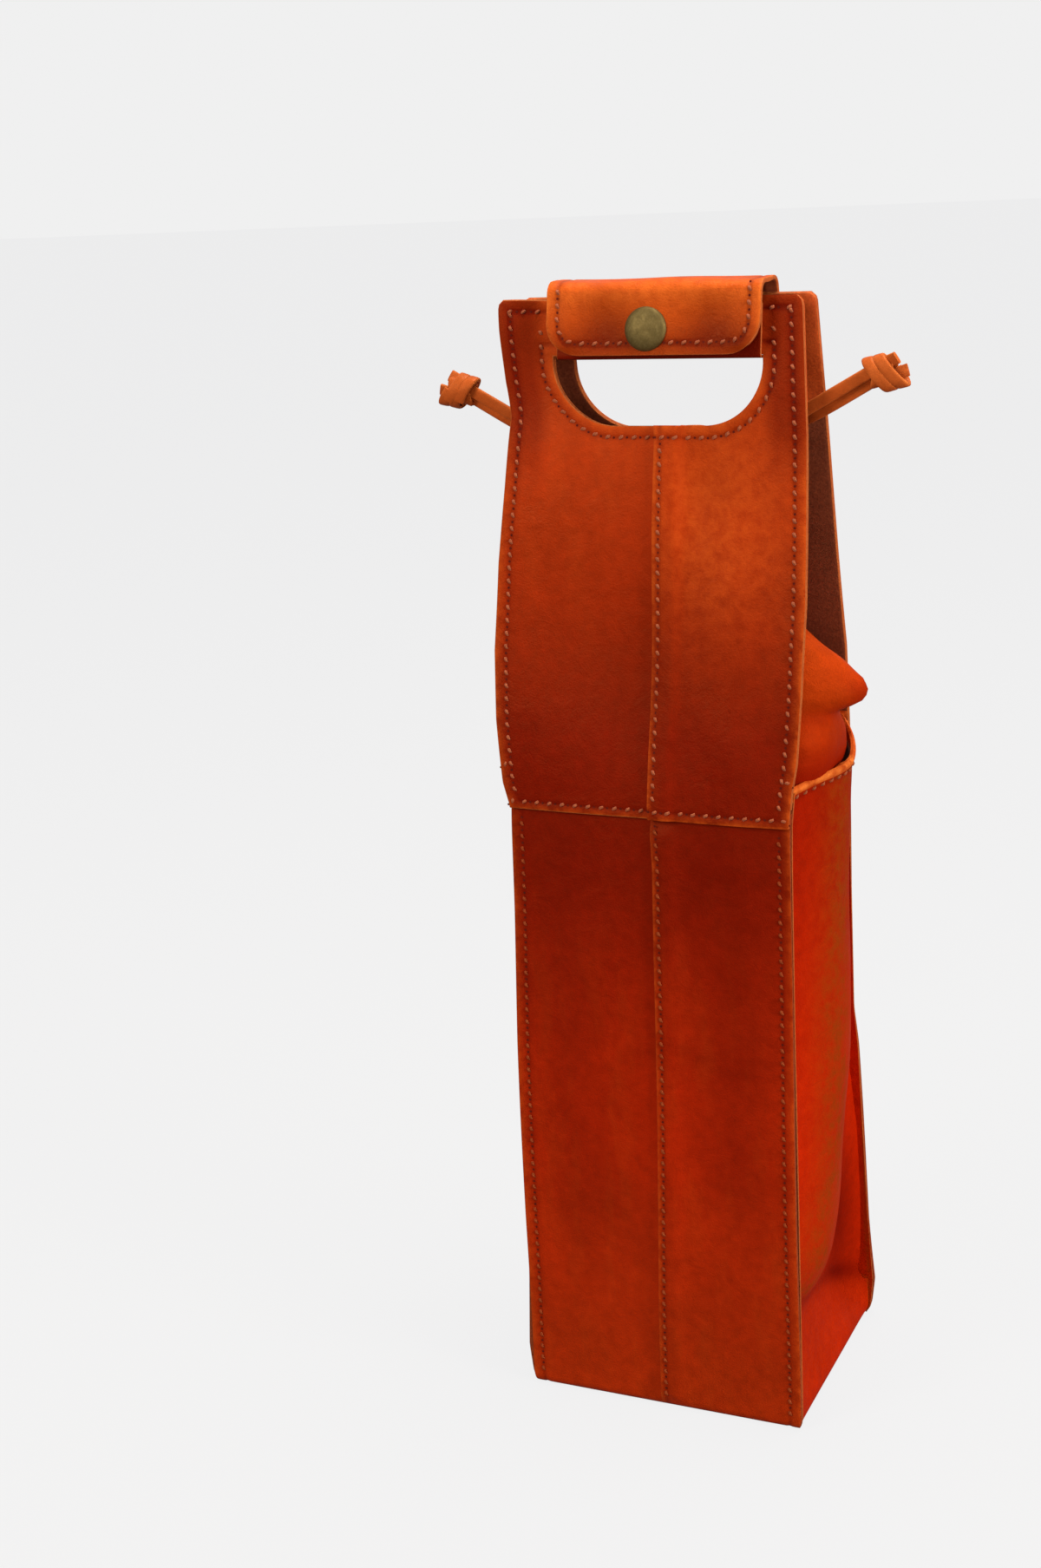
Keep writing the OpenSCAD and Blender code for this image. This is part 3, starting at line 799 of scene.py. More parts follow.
def hem_row(obj, side):
    """Row of stitches below the hem of a gusset, taken from its finished face"""
    depth = float(inner_depth(219.5 * MM)) - sizes().soft
    rays = []
    for share in np.linspace(-1, 1, 60):
        y = depth * 0.96 * share
        rays.append(((side * 90 * MM, y, (221.2 + hem_lift(y / depth)) * MM), (-side, 0, 0)))
    return cast_row(obj, rays)


def base(name):
    """The bottom, with its edges turned up in a small round and its middle a little sunk"""
    turns = np.array([0, 0.3, 0.9, 1.6, 2.6])
    tucks = np.array([0, 0.3, 0.8, 1.5])
    x = np.concatenate((-50 + turns, np.linspace(-45, 45, 25), 50 - turns[::-1])) * MM
    y = np.concatenate((-39.8 + tucks, np.linspace(-36, 36, 21), 39.8 - tucks[::-1])) * MM
    xx, yy = np.meshgrid(x, y)
    near = 1 - np.minimum(50 * MM - np.abs(xx), 2.6 * MM) / (2.6 * MM)
    side = 1 - np.minimum(39.8 * MM - np.abs(yy), 1.5 * MM) / (1.5 * MM)
    z = 1.9 * MM * quarter(near) + 0.9 * MM * quarter(side)
    z += 0.35 * MM * hill(xx, 0, 30) * hill(yy, 0, 26)
    # Painted shade where the edges turn up
    obj = sheet(f"{name}_leather", np.stack((xx * 0.966, yy, z), axis=-1), (0, 0, -1), rim=0, dent=near)
    dress(obj, ("gusset leather", "flesh side", "gusset leather"))
    return walled(obj, sizes().leather, "body", "shell_leather", name, edge=0.3 * MM, even=False)


# Height, half width, half depth as a share of the clear depth, and squareness of the collar
COLLAR_ROWS = np.array([
    (201, 46, 0.93, 4.5), (213, 50.5, 0.95, 3.2), (221, 52.6, 0.96, 2.8), (228, 54.2, 0.96, 3.3),
    (235, 54.6, 0.96, 3.1), (240, 54.2, 0.96, 2.6), (243.2, 54.6, 0.96, 2.1), (245.4, 57, 0.95, 1.75),
    (246.8, 61.5, 0.95, 1.55), (248.6, 64.6, 0.95, 1.5), (251.2, 65.4, 0.94, 1.5), (254, 64.0, 0.94, 1.5),
    (258.5, 57.6, 0.93, 1.7), (264, 49.5, 0.92, 2), (272, 39.5, 0.92, 2.2), (282, 31.5, 0.9, 2.2),
    (296, 24.5, 0.86, 2.2), (308, 19.8, 0.8, 2.3), (315, 18, 0.72, 2.4), (318, 18.2, 0.76, 2.5),
    (324, 18.4, 0.86, 2.5), (329.5, 18, 0.9, 2.5),
])
# The turned-in top of the collar: heights, and how far inside the outer face
TURNED_IN = (
    (331.2, 0.5), (331.9, 1.4), (331.9, 2.4), (331, 3.1), (329, 3.4), (325, 3.5), (318, 4.2), (308, 4.2),
)
CASING_Z = 316.5


def collar(name):
    """The pouch: wide in the mouth, pleated over the neck, its top turned in as a casing"""
    heights, insets = (np.array(column) for column in zip(*TURNED_IN))
    z = np.concatenate((np.linspace(201, 330, 86), heights))
    shrink = np.concatenate((np.zeros(86), insets))
    hx, share, square = (np.interp(z, COLLAR_ROWS[:, 0], COLLAR_ROWS[:, i]) for i in (1, 2, 3))
    hy = np.minimum(share * (inner_depth(z * MM) / MM - 0.3), 40)
    aa, zz = np.meshgrid(np.linspace(0, 2 * math.pi, 181), z)
    c, s = np.cos(aa), np.sin(aa)
    hx, hy, square, shrink = (v[:, None] for v in (hx, hy, square, shrink))
    x = np.sign(c) * hx * np.abs(c) ** (2 / square)
    y = np.sign(s) * hy * np.abs(s) ** (2 / square)
    left = (c < 0) * (zz > 228) * (zz < 275)
    x = np.where(left, x * (1 - 0.06 * bump((zz - 250) / 12)), x)
    # Pleats that the casing draws up, above the soft folds of the mouth
    near = smooth((zz - 256) / 40)
    wave = np.sin(17 * aa + 2.2 * np.sin(2 * aa + 0.6) + zz / 22) + 0.6 * np.sin(29 * aa + 1.1 + zz / 9)
    pleat = near * wave * np.where(zz < 317, 0.95, 0.42) * (1 - 0.6 * bump((zz - 316) / 3))
    soft = 0.8 * np.sin(3 * aa + zz / 7) * bump((zz - 244) / 16)
    soft += 0.96 * bump((zz - 262 + 6 * np.sin(2 * aa)) / 3.5)
    for middle in (0.85, math.pi - 0.85):
        soft -= 1.2 * bump((aa - middle) / 0.42) * bump((zz - 242) / 6)
    out = pleat + soft - shrink
    radius = np.hypot(x, y)
    x, y = x + out * x / radius, y + np.clip(out, -5, 0.4) * y / radius
    sunk = zz - 1.2 * bump((zz - 262) / 8) * np.abs(s)
    # Painted shade in the pleats, along the casing's stitches, under the nose and at its widest points, and
    # down inside the mouth
    dent = np.clip(0.8 * near * (wave < -0.7) + bump((zz - CASING_Z) / 1.2), 0, 1)
    dent += 1.7 * smooth((247 - zz) / 24) + 0.8 * bump((zz - 244) / 4)
    dent += 1.1 * bump((zz - 251) / 5) * bump((1 - np.abs(c)) / 0.06)
    obj = sheet(
        f"{name}_leather", np.stack((x, y, sunk), axis=-1) * MM, (0.0, 1.0, 0.0),
        rim=0.5 * bump((zz - 331.5) / 1.5), dent=dent,
    )
    merge(obj, 0.05 * MM)
    # The sheet's faces look inward, so its first material is that of the inside
    dress(obj, ("flesh side", "collar leather", "collar leather"))
    return walled(obj, sizes().soft * 0.9, "body", "collar_leather", name, edge=0.2 * MM, even=False)


# The wrap


def upper_point(h, out):
    """Depth and height of a point in front of the upper panel, h up from the opening line"""
    return np.array((
        -SEAM_Y + h * math.sin(UP_LEAN) - out * math.cos(UP_LEAN),
        SEAM_Z + h * math.cos(UP_LEAN) + out * math.sin(UP_LEAN),
    ))


def point_at(z, out):
    """The point at a height that lies out of the upper panel by a distance"""
    return upper_point((z - SEAM_Z - out * math.sin(UP_LEAN)) / math.cos(UP_LEAN), out)


def rounded(corners, radius):
    """A fine polyline through corners, with arcs in place of its bends, and the distances along it"""
    line = [corners[0]]
    for before, corner, after in zip(corners, corners[1:], corners[2:]):
        u = (before - corner) / np.linalg.norm(before - corner)
        w = (after - corner) / np.linalg.norm(after - corner)
        half = math.acos(np.clip(np.dot(u, w), -1, 1)) / 2
        cut = radius / math.tan(half)
        centre = corner + (u + w) / np.linalg.norm(u + w) * radius / math.sin(half)
        start, end = corner + u * cut - centre, corner + w * cut - centre
        for t in np.linspace(0, 1, 9):
            v = start * (1 - t) + end * t
            line.append(centre + v / np.linalg.norm(v) * radius)
    line = np.array(line + [corners[-1]])
    return line, run_along(line)


# The strap's outer face, from its foot on the back bar over the top to the flap's end
TOP_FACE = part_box("wrap_top")[1].z
FLAP_OUT = 7.4 * MM
BACK_OUT = 2.8 * MM
BEHIND = np.array((-1, 1))
STRAP, STRAP_WAY = rounded(
    [
        point_at(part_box("wrap_back")[0].z, BACK_OUT) * BEHIND, point_at(TOP_FACE, BACK_OUT) * BEHIND,
        point_at(TOP_FACE, FLAP_OUT), point_at(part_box("wrap_flap")[0].z, FLAP_OUT),
    ],
    4.2 * MM,
)
STRAP_END = STRAP_WAY[-1]
STRAP_ROW = 3.8 * MM
FLAP_CORNER = 11 * MM
# Where the strap is parted in two pieces: this far in front of the middle
PARTING = 2 * MM


def strap_at(ahead):
    """Distance along the strap of its point that far in front of the carrier's middle"""
    return float(np.interp(ahead, -STRAP[:, 0], STRAP_WAY))


def strap_surface(way, x, inset):
    """Points of the strap's outer face, moved inward by inset; way runs from the back over the top"""
    way = np.asarray(way, float)
    y, z = at(STRAP_WAY, way, STRAP)
    ahead = at(STRAP_WAY, np.clip(way + 0.4 * MM, 0, STRAP_END), STRAP)
    behind = at(STRAP_WAY, np.clip(way - 0.4 * MM, 0, STRAP_END), STRAP)
    dy, dz = ahead[0] - behind[0], ahead[1] - behind[1]
    size = np.hypot(dy, dz)
    # Across in half widths and up from the end in mm, for the swellings of the worn leather
    u = (x - sizes().shift) / (36 * MM)
    v = (STRAP_END - way) / MM
    soft = 1.3 * bump((np.abs(u) - 0.95) / 0.24) * bump((v - 3) / 10)
    soft -= 1.3 * bump((np.abs(u) - 0.46) / 0.26) * bump((v - 11) / 8)
    soft += 0.5 * np.sin(u * 5 + 0.7) * bump((v - 28) / 6) + 0.6 * bump(u / 0.9) * bump((v - 20) / 6)
    soft = soft * MM * smooth(v / 3) - inset
    return np.stack((x + 0 * y, y + dz / size * soft, z - dy / size * soft), axis=-1)


def strap_painted_shade(x, rest):
    """Painted shade on the flap: toward its end, and in the hollows beside the snap"""
    u = (x - sizes().shift) / (36 * MM)
    beside = bump((np.abs(u - 0.06) - 0.5) / 0.3) * hill(rest, 10, 8)
    return 1.3 * rise(-rest, -14, 12) + 1.2 * beside


def strap_sheet(name, start, end, outward, inset=0.0, trim=0.0):
    """Part of the strap; with a trim it is a lining, narrower all round and without stitches"""
    p = sizes()
    total = STRAP_END - trim
    to_end = end >= total
    ways = np.arange(start, end + 0.1 * MM, 0.9 * MM)
    ways[-1] = end
    half = np.full(len(ways), p.wrap_width / 2 - trim)
    if to_end:
        tail = total - np.array([14, 12, 10, 8.2, 6.6, 5.2, 4, 3, 2.2, 1.5, 0.9, 0.5, 0.2, 0]) * MM
        ways = np.concatenate((ways[ways < tail[0] - 0.5 * MM], tail))
        corner = FLAP_CORNER - trim
        into = corner - np.clip(total - ways, 0, corner)
        half = p.wrap_width / 2 - trim - corner + np.sqrt(np.maximum(corner ** 2 - into ** 2, 0))
    edge = np.append(EDGE_COLUMNS[:-1], 6.5 * MM)
    x = p.shift + np.array([
        np.concatenate((edge - h, np.linspace(edge[-1] - h, h - edge[-1], 34)[1:-1], (h - edge)[::-1]))
        for h in half
    ])
    way = np.broadcast_to(ways[:, None], x.shape)
    rim = np.minimum(half[:, None] - np.abs(x - p.shift), np.maximum(total - way, 0) if to_end else FAR)
    row = np.abs(rim - STRAP_ROW)
    # A painted highlight across the flap, 20 mm up from its end, carried with the edge wear
    highlight_and_wear = 0.5 * hill(total - way, 20, 5) * to_end
    return sheet(
        name, strap_surface(way, x, inset + (0 if trim else groove(row))), outward,
        rim=worn(rim, 0.7 * MM) + highlight_and_wear,
        dent=0 if trim else strap_painted_shade(x, total - way) + furrow_shade(row),
    )


def wall_with_meeting(obj, plane_y):
    """Walls a piece and rounds its cut edges, but not where it meets another at the plane plane_y"""
    take(obj)
    add_wall(obj, sizes().leather)
    bpy.ops.object.modifier_apply(modifier="wall")
    mesh = obj.data
    weights = np.zeros(len(mesh.edges), np.float32)
    faces = {}
    for face in mesh.polygons:
        for key in face.edge_keys:
            faces.setdefault(key, []).append(face.normal)
    for i, edge in enumerate(mesh.edges):
        pair = faces.get(tuple(sorted(edge.vertices)), [])
        meets = all(abs(mesh.vertices[v].co.y - plane_y) < 0.3 * MM for v in edge.vertices)
        if len(pair) == 2 and pair[0].dot(pair[1]) < 0.5 and not meets:
            weights[i] = 1
    attribute = mesh.attributes.new("bevel_weight_edge", "FLOAT", "EDGE")
    attribute.data.foreach_set("value", weights)
    add_rounding(obj, 0.35 * MM, "WEIGHT")
    settle(obj)
    shade(obj)


def strap_row(corners):
    """Points and normals along a polyline on the strap, given across and along in mm"""
    x, way = resample(np.array(corners) * MM)
    x = x + sizes().shift
    points = strap_surface(way, x, THREAD_SINK)
    normals = points - strap_surface(way, x, THREAD_SINK + 1 * MM)
    return points, normals / np.linalg.norm(normals, axis=1)[:, None]


def flap_row():
    """Stitches down one side of the flap, round its end and up the other side"""
    half = (sizes().wrap_width / 2 - STRAP_ROW) / MM
    end = (STRAP_END - STRAP_ROW) / MM
    bend = (FLAP_CORNER - STRAP_ROW) / MM
    start = strap_at(9.6 * MM) / MM
    turn = [
        (half - bend * (1 - math.cos(a)), end - bend + bend * math.sin(a))
        for a in np.linspace(0.1, math.pi / 2, 10)
    ]
    right = [(half, start), (half, end - bend)] + turn
    return strap_row([(-x, way) for x, way in right] + right[::-1])


def back_rows():
    """Stitches that hold the strap to the back bar: two rows across and two up its sides"""
    half = (sizes().wrap_width / 2 - STRAP_ROW) / MM
    top = strap_at(-4.6 * MM) / MM - 3.4
    lines = [((-half, way), (half, way)) for way in (3.6, 17)]
    lines += [((x, 6), (x, top)) for x in (-half, half)]
    return [strap_row(line) for line in lines]


def stud_facing(name):
    """Facing of the front bar, turned under it; it carries the stud"""
    low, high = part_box("stud_patch")
    face, bar = 2.4 * MM, UP_L - sizes().bar - 1.0 * MM
    line, ways = rounded(
        [upper_point(UP_L - 2.3 * MM, face), upper_point(bar, face), upper_point(bar, -0.9 * MM)], 0.9 * MM
    )
    y, z = at(ways, np.linspace(0, ways[-1], 30), line)
    ends = np.array([0, 1.2, 2.4]) * MM
    middle = np.linspace(low.x + 5 * MM, high.x - 5 * MM, 24)
    xx, yy = np.meshgrid(np.concatenate((low.x + ends, middle, high.x - ends[::-1])), y)
    zz = np.broadcast_to(z[:, None], xx.shape)
    rim = worn(np.minimum(xx - low.x, high.x - xx), 0.5 * MM)
    # The facing is darkened all over, as painted shade under the bar
    obj = sheet(f"{name}_leather", np.stack((xx, yy, zz), axis=-1), (0, -1, 0.1), rim=rim, dent=1.9)
    wall = sizes().lining - 0.1 * MM
    return walled(dress(obj, SHELL), wall, "front_panel", "shell_leather", name, edge=0.2 * MM, even=False)


# Laces

# A strand's way from the casing to the knot, as shares of its reach across, its distance from the
# middle and its rise
LACE_SHARES = (
    (-0.46, 1, 0), (0.08, 1, 0), (0.3, 0.7, 0.24), (0.52, 0.3, 0.47), (0.7, 0.16, 0.66), (1, 0.16, 1),
)
LACE_START, LACE_REACH, LACE_RISE = 18, 51, 25


def lace_height(side):
    return (326.5 if side > 0 else 321.5) * MM


def lace_way(side, front):
    """Points along the middle of one lace strand, from inside the casing to the knot"""
    rough = [
        Vector((
            side * (LACE_START + share * LACE_REACH) * MM,
            front * max(across * 7.3, 0.9) * MM,
            lace_height(side) + (rise * LACE_RISE - front * 1.6 * min(max((share - 0.3) / 0.3, 0), 1)) * MM,
        ))
        for share, across, rise in LACE_SHARES
    ]
    points = []
    for i in range(len(rough) - 1):
        before, start = rough[max(i - 1, 0)], rough[i]
        end, after = rough[i + 1], rough[min(i + 2, len(rough) - 1)]
        for j in range(10):
            t = j / 10
            points.append(0.5 * (
                2 * start + (end - before) * t + (2 * before - 5 * start + 4 * end - after) * t * t
                + (3 * start - before - 3 * end + after) * t ** 3
            ))
    return points + [rough[-1]]


def oval(c, size):
    """Half a size along one axis of a flattened ring, from the sine or cosine of the place on it"""
    return math.copysign(abs(c) ** 0.6, c) * size / 2


def band(name, points, ups, width, thick, dark=0.0):
    """A flat strand swept along points, with painted shade strongest at its start, inside the casing; ups
    are the directions of its width
    """
    count = len(points)
    angles = np.linspace(0, 2 * math.pi, 15)
    rows = []
    for i, point in enumerate(points):
        along = (points[min(i + 1, count - 1)] - points[max(i - 1, 0)]).normalized()
        up = (ups[i] - along * ups[i].dot(along)).normalized()
        across = along.cross(up)
        rows.append([
            tuple(point + up * oval(math.cos(a), width) + across * oval(math.sin(a), thick)) for a in angles
        ])
    layout = np.array(rows)
    outward = layout[count // 2, len(angles) // 2] - layout[count // 2].mean(axis=0)
    obj = sheet(
        name, layout, tuple(outward), rim=0.7 * np.cos(angles) ** 6,
        dent=dark * (1 - np.linspace(0, 1, count))[:, None],
    )
    merge(obj, 0.01 * MM)
    with editing(obj):
        close_ends()
    shade(obj, 50)
    return dress(obj, ("lace leather",))


def knot(name, side):
    """Overhand knot of the doubled lace: an inner and an outer turn of both strands, and two cut tails"""
    end = Vector((side * (LACE_START + LACE_REACH) * MM, 0, lace_height(side) + LACE_RISE * MM))
    ahead = Vector((side * 0.97, 0, 0.243))
    over = Vector((-side * 0.243, 0, 0.97))
    beside = ahead.cross(over)
    parts = []
    # Turns: first angle, turns, height and depth of the turn, its tilt, its place along the lace, drift
    for first, turns, high, deep, tilt, middle, drift in (
        (-0.35, 1.12, 5.3, 3.7, 2.3, 4.2, 1.6), (0.3, 0.9, 3.1, 2.0, -1.6, 3.6, -1.0),
    ):
        for strand in (-1, 1):
            path, ups = [], []
            for i in range(61):
                t = i / 60
                a = 2 * math.pi * (first + turns * t)
                point = end + ahead * (middle - tilt * math.cos(a) + drift * (t - 0.5)) * MM
                point += over * math.cos(a) * high * MM + beside * math.sin(a) * deep * MM
                up = ahead + over * 0.25 * math.sin(a)
                path.append(point + up.normalized() * strand * 1.85 * MM)
                ups.append(up)
            parts.append(band("knot strand", path, ups, 3.9 * MM, 1.5 * MM))
    for strand, reach, lift, curve in ((1, 9.6, 3.6, 1.2), (-1, 11.2, -1.0, -0.8)):
        path, ups = [], []
        for i in range(12):
            t = i / 11
            point = end + ahead * (-1 + (reach + 1) * t) * MM
            point += over * (strand * 1.9 * (1 - t) + lift * t) * MM
            path.append(point + beside * (strand * 0.5 + curve * t * t + 0.8 * t) * MM)
            ups.append(over + beside * 0.35 * t * strand)
        parts.append(band("knot tail", path, ups, 4.1 * MM, 1.4 * MM))
    return belongs(join(name, parts), "right_lace" if side > 0 else "left_lace", "lace_leather")


# Materials

COLOR = "NodeSocketColor"
FLOAT = "NodeSocketFloat"


class Nodes:
    """Adds and joins nodes in one tree"""

    def __init__(self, tree):
        self.tree = tree

    def add(self, kind, inputs=None, **settings):
        node = self.tree.nodes.new(kind)
        for key, value in settings.items():
            setattr(node, key, value)
        return self.fill(node, inputs or {})

    def fill(self, node, inputs):
        """Gives a node's inputs their values, or the outputs that they are joined to"""
        for key, value in inputs.items():
            if isinstance(value, bpy.types.NodeSocket):
                self.tree.links.new(value, node.inputs[key])
            else:
                node.inputs[key].default_value = value
        return node

    def place(self):
        return self.add("ShaderNodeTexCoord").outputs["Object"]

    def group(self, name, inputs):
        return self.add("ShaderNodeGroup", inputs, node_tree=bpy.data.node_groups[name]).outputs

    def noise(self, place, scale, detail, roughness, distortion=0.0):
        inputs = {"Vector": place, "Scale": scale, "Detail": detail, "Roughness": roughness}
        return self.add("ShaderNodeTexNoise", inputs | {"Distortion": distortion}).outputs["Fac"]

    def spread(self, value, low, high, to_low=0.0, to_high=1.0, kind="LINEAR"):
        inputs = {"Value": value, "From Min": low, "From Max": high, "To Min": to_low, "To Max": to_high}
        return self.add("ShaderNodeMapRange", inputs, interpolation_type=kind).outputs["Result"]

    def mix(self, factor, first, second, blend="MIX"):
        inputs = {0: factor, 6: first, 7: second}
        return self.add("ShaderNodeMix", inputs, data_type="RGBA", blend_type=blend).outputs[2]

    def reckon(self, operation, first, second):
        return self.add("ShaderNodeMath", {0: first, 1: second}, operation=operation).outputs[0]

    def times(self, first, *others):
        for other in others:
            first = self.reckon("MULTIPLY", first, other)
        return first

    def plus(self, first, *others):
        for other in others:
            first = self.reckon("ADD", first, other)
        return first

    def mark(self, name):
        return self.add("ShaderNodeAttribute", attribute_name=name).outputs["Fac"]

    def bump(self, height, strength, distance):
        inputs = {"Height": height, "Strength": strength, "Distance": distance * MM}
        return self.add("ShaderNodeBump", inputs).outputs["Normal"]


def new_group(name, inputs, outputs):
    tree = bpy.data.node_groups.new(name, "ShaderNodeTree")
    for label, kind, default in inputs:
        tree.interface.new_socket(name=label, in_out="INPUT", socket_type=kind).default_value = default
    for label, kind in outputs:
        tree.interface.new_socket(name=label, in_out="OUTPUT", socket_type=kind)
    nodes = Nodes(tree)
    return nodes, nodes.add("NodeGroupInput").outputs, nodes.add("NodeGroupOutput")


# Height of the band of painted shade, at the opening
SHADE_BAND_Z = 222 * MM


def tone_group():
    """Dyed colour: clouds, streaks, mottling and wear, with a band of painted shade at the opening, painted
    light toward the top and the bottom, and painted highlights and painted shade from the marks
    """
    nodes, given, result = new_group(
        "dyed tone and painted light",
        (
            ("Middle", COLOR, (0.4, 0.05, 0.01, 1)), ("Dark", COLOR, (0.2, 0.02, 0.01, 1)),
            ("Light", COLOR, (0.6, 0.1, 0.02, 1)), ("Clouds", FLOAT, 1.0),
        ),
        (("Color", COLOR), ("Highlight and wear", FLOAT)),
    )
    middle, dark, light, clouds_and_painted_light = (given[key] for key in ("Middle", "Dark", "Light", "Clouds"))
    place_now = nodes.place()
    wide = nodes.noise(place_now, 26, 4, 0.55, 0.4)
    fine = nodes.noise(place_now, 240, 5, 0.62)
    stretched = nodes.add("ShaderNodeMapping", {"Vector": place_now, "Scale": (1.0, 1.0, 0.22)})
    streak = nodes.noise(stretched.outputs["Vector"], 120, 4, 0.6, 0.2)
    colour_now = nodes.mix(nodes.times(nodes.spread(wide, 0.42, 0.72), clouds_and_painted_light, 0.45), middle, dark)
    colour_now = nodes.mix(nodes.times(nodes.spread(streak, 0.5, 0.85, 0, 0.16), clouds_and_painted_light), colour_now, light)
    height = nodes.add("ShaderNodeSeparateXYZ", {0: place_now}).outputs[2]
    # A band of painted shade at the opening, and painted light toward the top and the bottom
    from_seam = nodes.reckon("ABSOLUTE", nodes.reckon("SUBTRACT", height, SHADE_BAND_Z), 0)
    shade_band = nodes.spread(from_seam, 0.018, 0.11, 0.84, 0.0, "SMOOTHSTEP")
    colour_now = nodes.mix(nodes.times(shade_band, clouds_and_painted_light), colour_now, dark)
    painted_light_ends = nodes.plus(nodes.spread(height, 0.24, 0.37, 0, 0.42), nodes.spread(height, 0, 0.1, 0.18, 0))
    colour_now = nodes.mix(nodes.times(painted_light_ends, clouds_and_painted_light), colour_now, light)
    mottle = nodes.spread(fine, 0.3, 0.7, 0.86, 1.12)
    grey = nodes.add("ShaderNodeCombineColor", {0: mottle, 1: mottle, 2: mottle}).outputs[0]
    colour_now = nodes.mix(1.0, colour_now, grey, "MULTIPLY")
    rough = nodes.spread(fine, 0.36, 0.62, 0.25, 1.0)
    # Lighter by the rim mark: wear at the cut edges, with painted highlights
    highlight_and_wear = nodes.times(nodes.mark("rim"), rough)
    colour_now = nodes.mix(highlight_and_wear, colour_now, light)
    # Darker by the shade mark: painted shade in furrows, creases, hollows, under laps and beside the wrap
    colour_now = nodes.mix(nodes.times(nodes.mark("dent"), 0.5), colour_now, dark)
    nodes.fill(result, {"Color": colour_now, "Highlight and wear": highlight_and_wear})


def grain_group():
    """Leather grain: pebbles, pores and shallow creases, as a height and a roughness change"""
    nodes, given, result = new_group(
        "leather grain", (("Pebble", FLOAT, 1.0),), (("Height", FLOAT), ("Roughness", FLOAT)),
    )
    place_now = nodes.place()
    warp = nodes.add("ShaderNodeTexNoise", {"Vector": place_now, "Scale": 300}).outputs["Color"]
    moved = nodes.mix(0.004, place_now, warp)
    cells = nodes.add("ShaderNodeTexVoronoi", {"Vector": moved, "Scale": 950}, feature="DISTANCE_TO_EDGE")
    pebble = nodes.times(nodes.spread(cells.outputs["Distance"], 0.0, 0.22), given["Pebble"])
    pore = nodes.noise(place_now, 1500, 3, 0.6)
    crease = nodes.spread(nodes.noise(place_now, 85, 6, 0.62, 0.9), 0.3, 0.7)
    height = nodes.plus(nodes.times(pebble, 0.10), nodes.times(pore, 0.14), nodes.times(crease, 0.55))
    patch = nodes.noise(place_now, 60, 4, 0.6)
    nodes.fill(result, {"Height": height, "Roughness": nodes.spread(patch, 0.3, 0.7, -0.09, 0.09)})


def new_material(name):
    material = bpy.data.materials.new(name)
    material.use_nodes = True
    material.diffuse_color = (0.5, 0.1, 0.05, 1)
    return Nodes(material.node_tree), material.node_tree.nodes["Principled BSDF"]


def leather(name, middle, dark, light, rough, clouds_and_painted_light=1.0, pebble=1.0, depth=0.4, shine=0.16):
    """Dyed leather with its grain, and with the painted light and shade of its tone; depth is the grain's
    height in mm
    """
    nodes, shader = new_material(name)
    tone = nodes.group("dyed tone and painted light", {
        "Middle": (*middle, 1), "Dark": (*dark, 1), "Light": (*light, 1), "Clouds": clouds_and_painted_light,
    })
    grain = nodes.group("leather grain", {"Pebble": pebble})
    nodes.fill(shader, {
        "Base Color": tone["Color"],
        "Roughness": nodes.plus(grain["Roughness"], rough, nodes.times(tone["Highlight and wear"], 0.12)),
        "Normal": nodes.bump(grain["Height"], 0.9, depth),
        "Specular IOR Level": shine, "Specular Tint": (1, 0.36, 0.1, 1),
    })


def metal(name):
    """Brass with brown patches and rubbed specks"""
    nodes, shader = new_material(name)
    place_now = nodes.place()
    blotch = nodes.noise(place_now, 420, 5, 0.6, 0.5)
    fine = nodes.noise(place_now, 1800, 4, 0.6)
    tone = nodes.mix(
        nodes.spread(blotch, 0.32, 0.72, 0.1, 0.75), (*colours().brass, 1), (0.08, 0.055, 0.015, 1)
    )
    nodes.fill(shader, {
        "Base Color": nodes.mix(nodes.spread(fine, 0.5, 0.75, 0, 0.3), tone, (0.23, 0.18, 0.075, 1)),
        "Roughness": nodes.spread(blotch, 0.3, 0.7, 0.54, 0.66),
        "Metallic": 0.85, "Normal": nodes.bump(fine, 0.6, 0.06),
    })


def fibres(name, middle, dark, scale, rough, depth, sheen=0.0):
    """Suede, cut edges and thread, without shine; depth is the nap's height in mm"""
    nodes, shader = new_material(name)
    place_now = nodes.place()
    nap = nodes.noise(place_now, scale, 5, 0.65, 0.6)
    wide = nodes.noise(place_now, scale / 14, 3, 0.5)
    tone = nodes.mix(nodes.spread(nap, 0.34, 0.66), (*middle, 1), (*dark, 1))
    nodes.fill(shader, {
        "Base Color": nodes.mix(nodes.spread(wide, 0.45, 0.75, 0, 0.6), tone, (*dark, 1)),
        "Roughness": nodes.spread(nap, 0.3, 0.7, rough - 0.08, min(rough + 0.06, 1)),
        "Sheen Weight": sheen, "Specular IOR Level": 0.2, "Normal": nodes.bump(nap, 0.8, depth),
    })


def link_to_scene(obj):
    bpy.context.collection.objects.link(obj)
    return obj


def aim(obj, where, turn):
    obj.matrix_world = Matrix.Translation(where) @ turn.to_4x4()


# Operators, one for each piece or group of like pieces


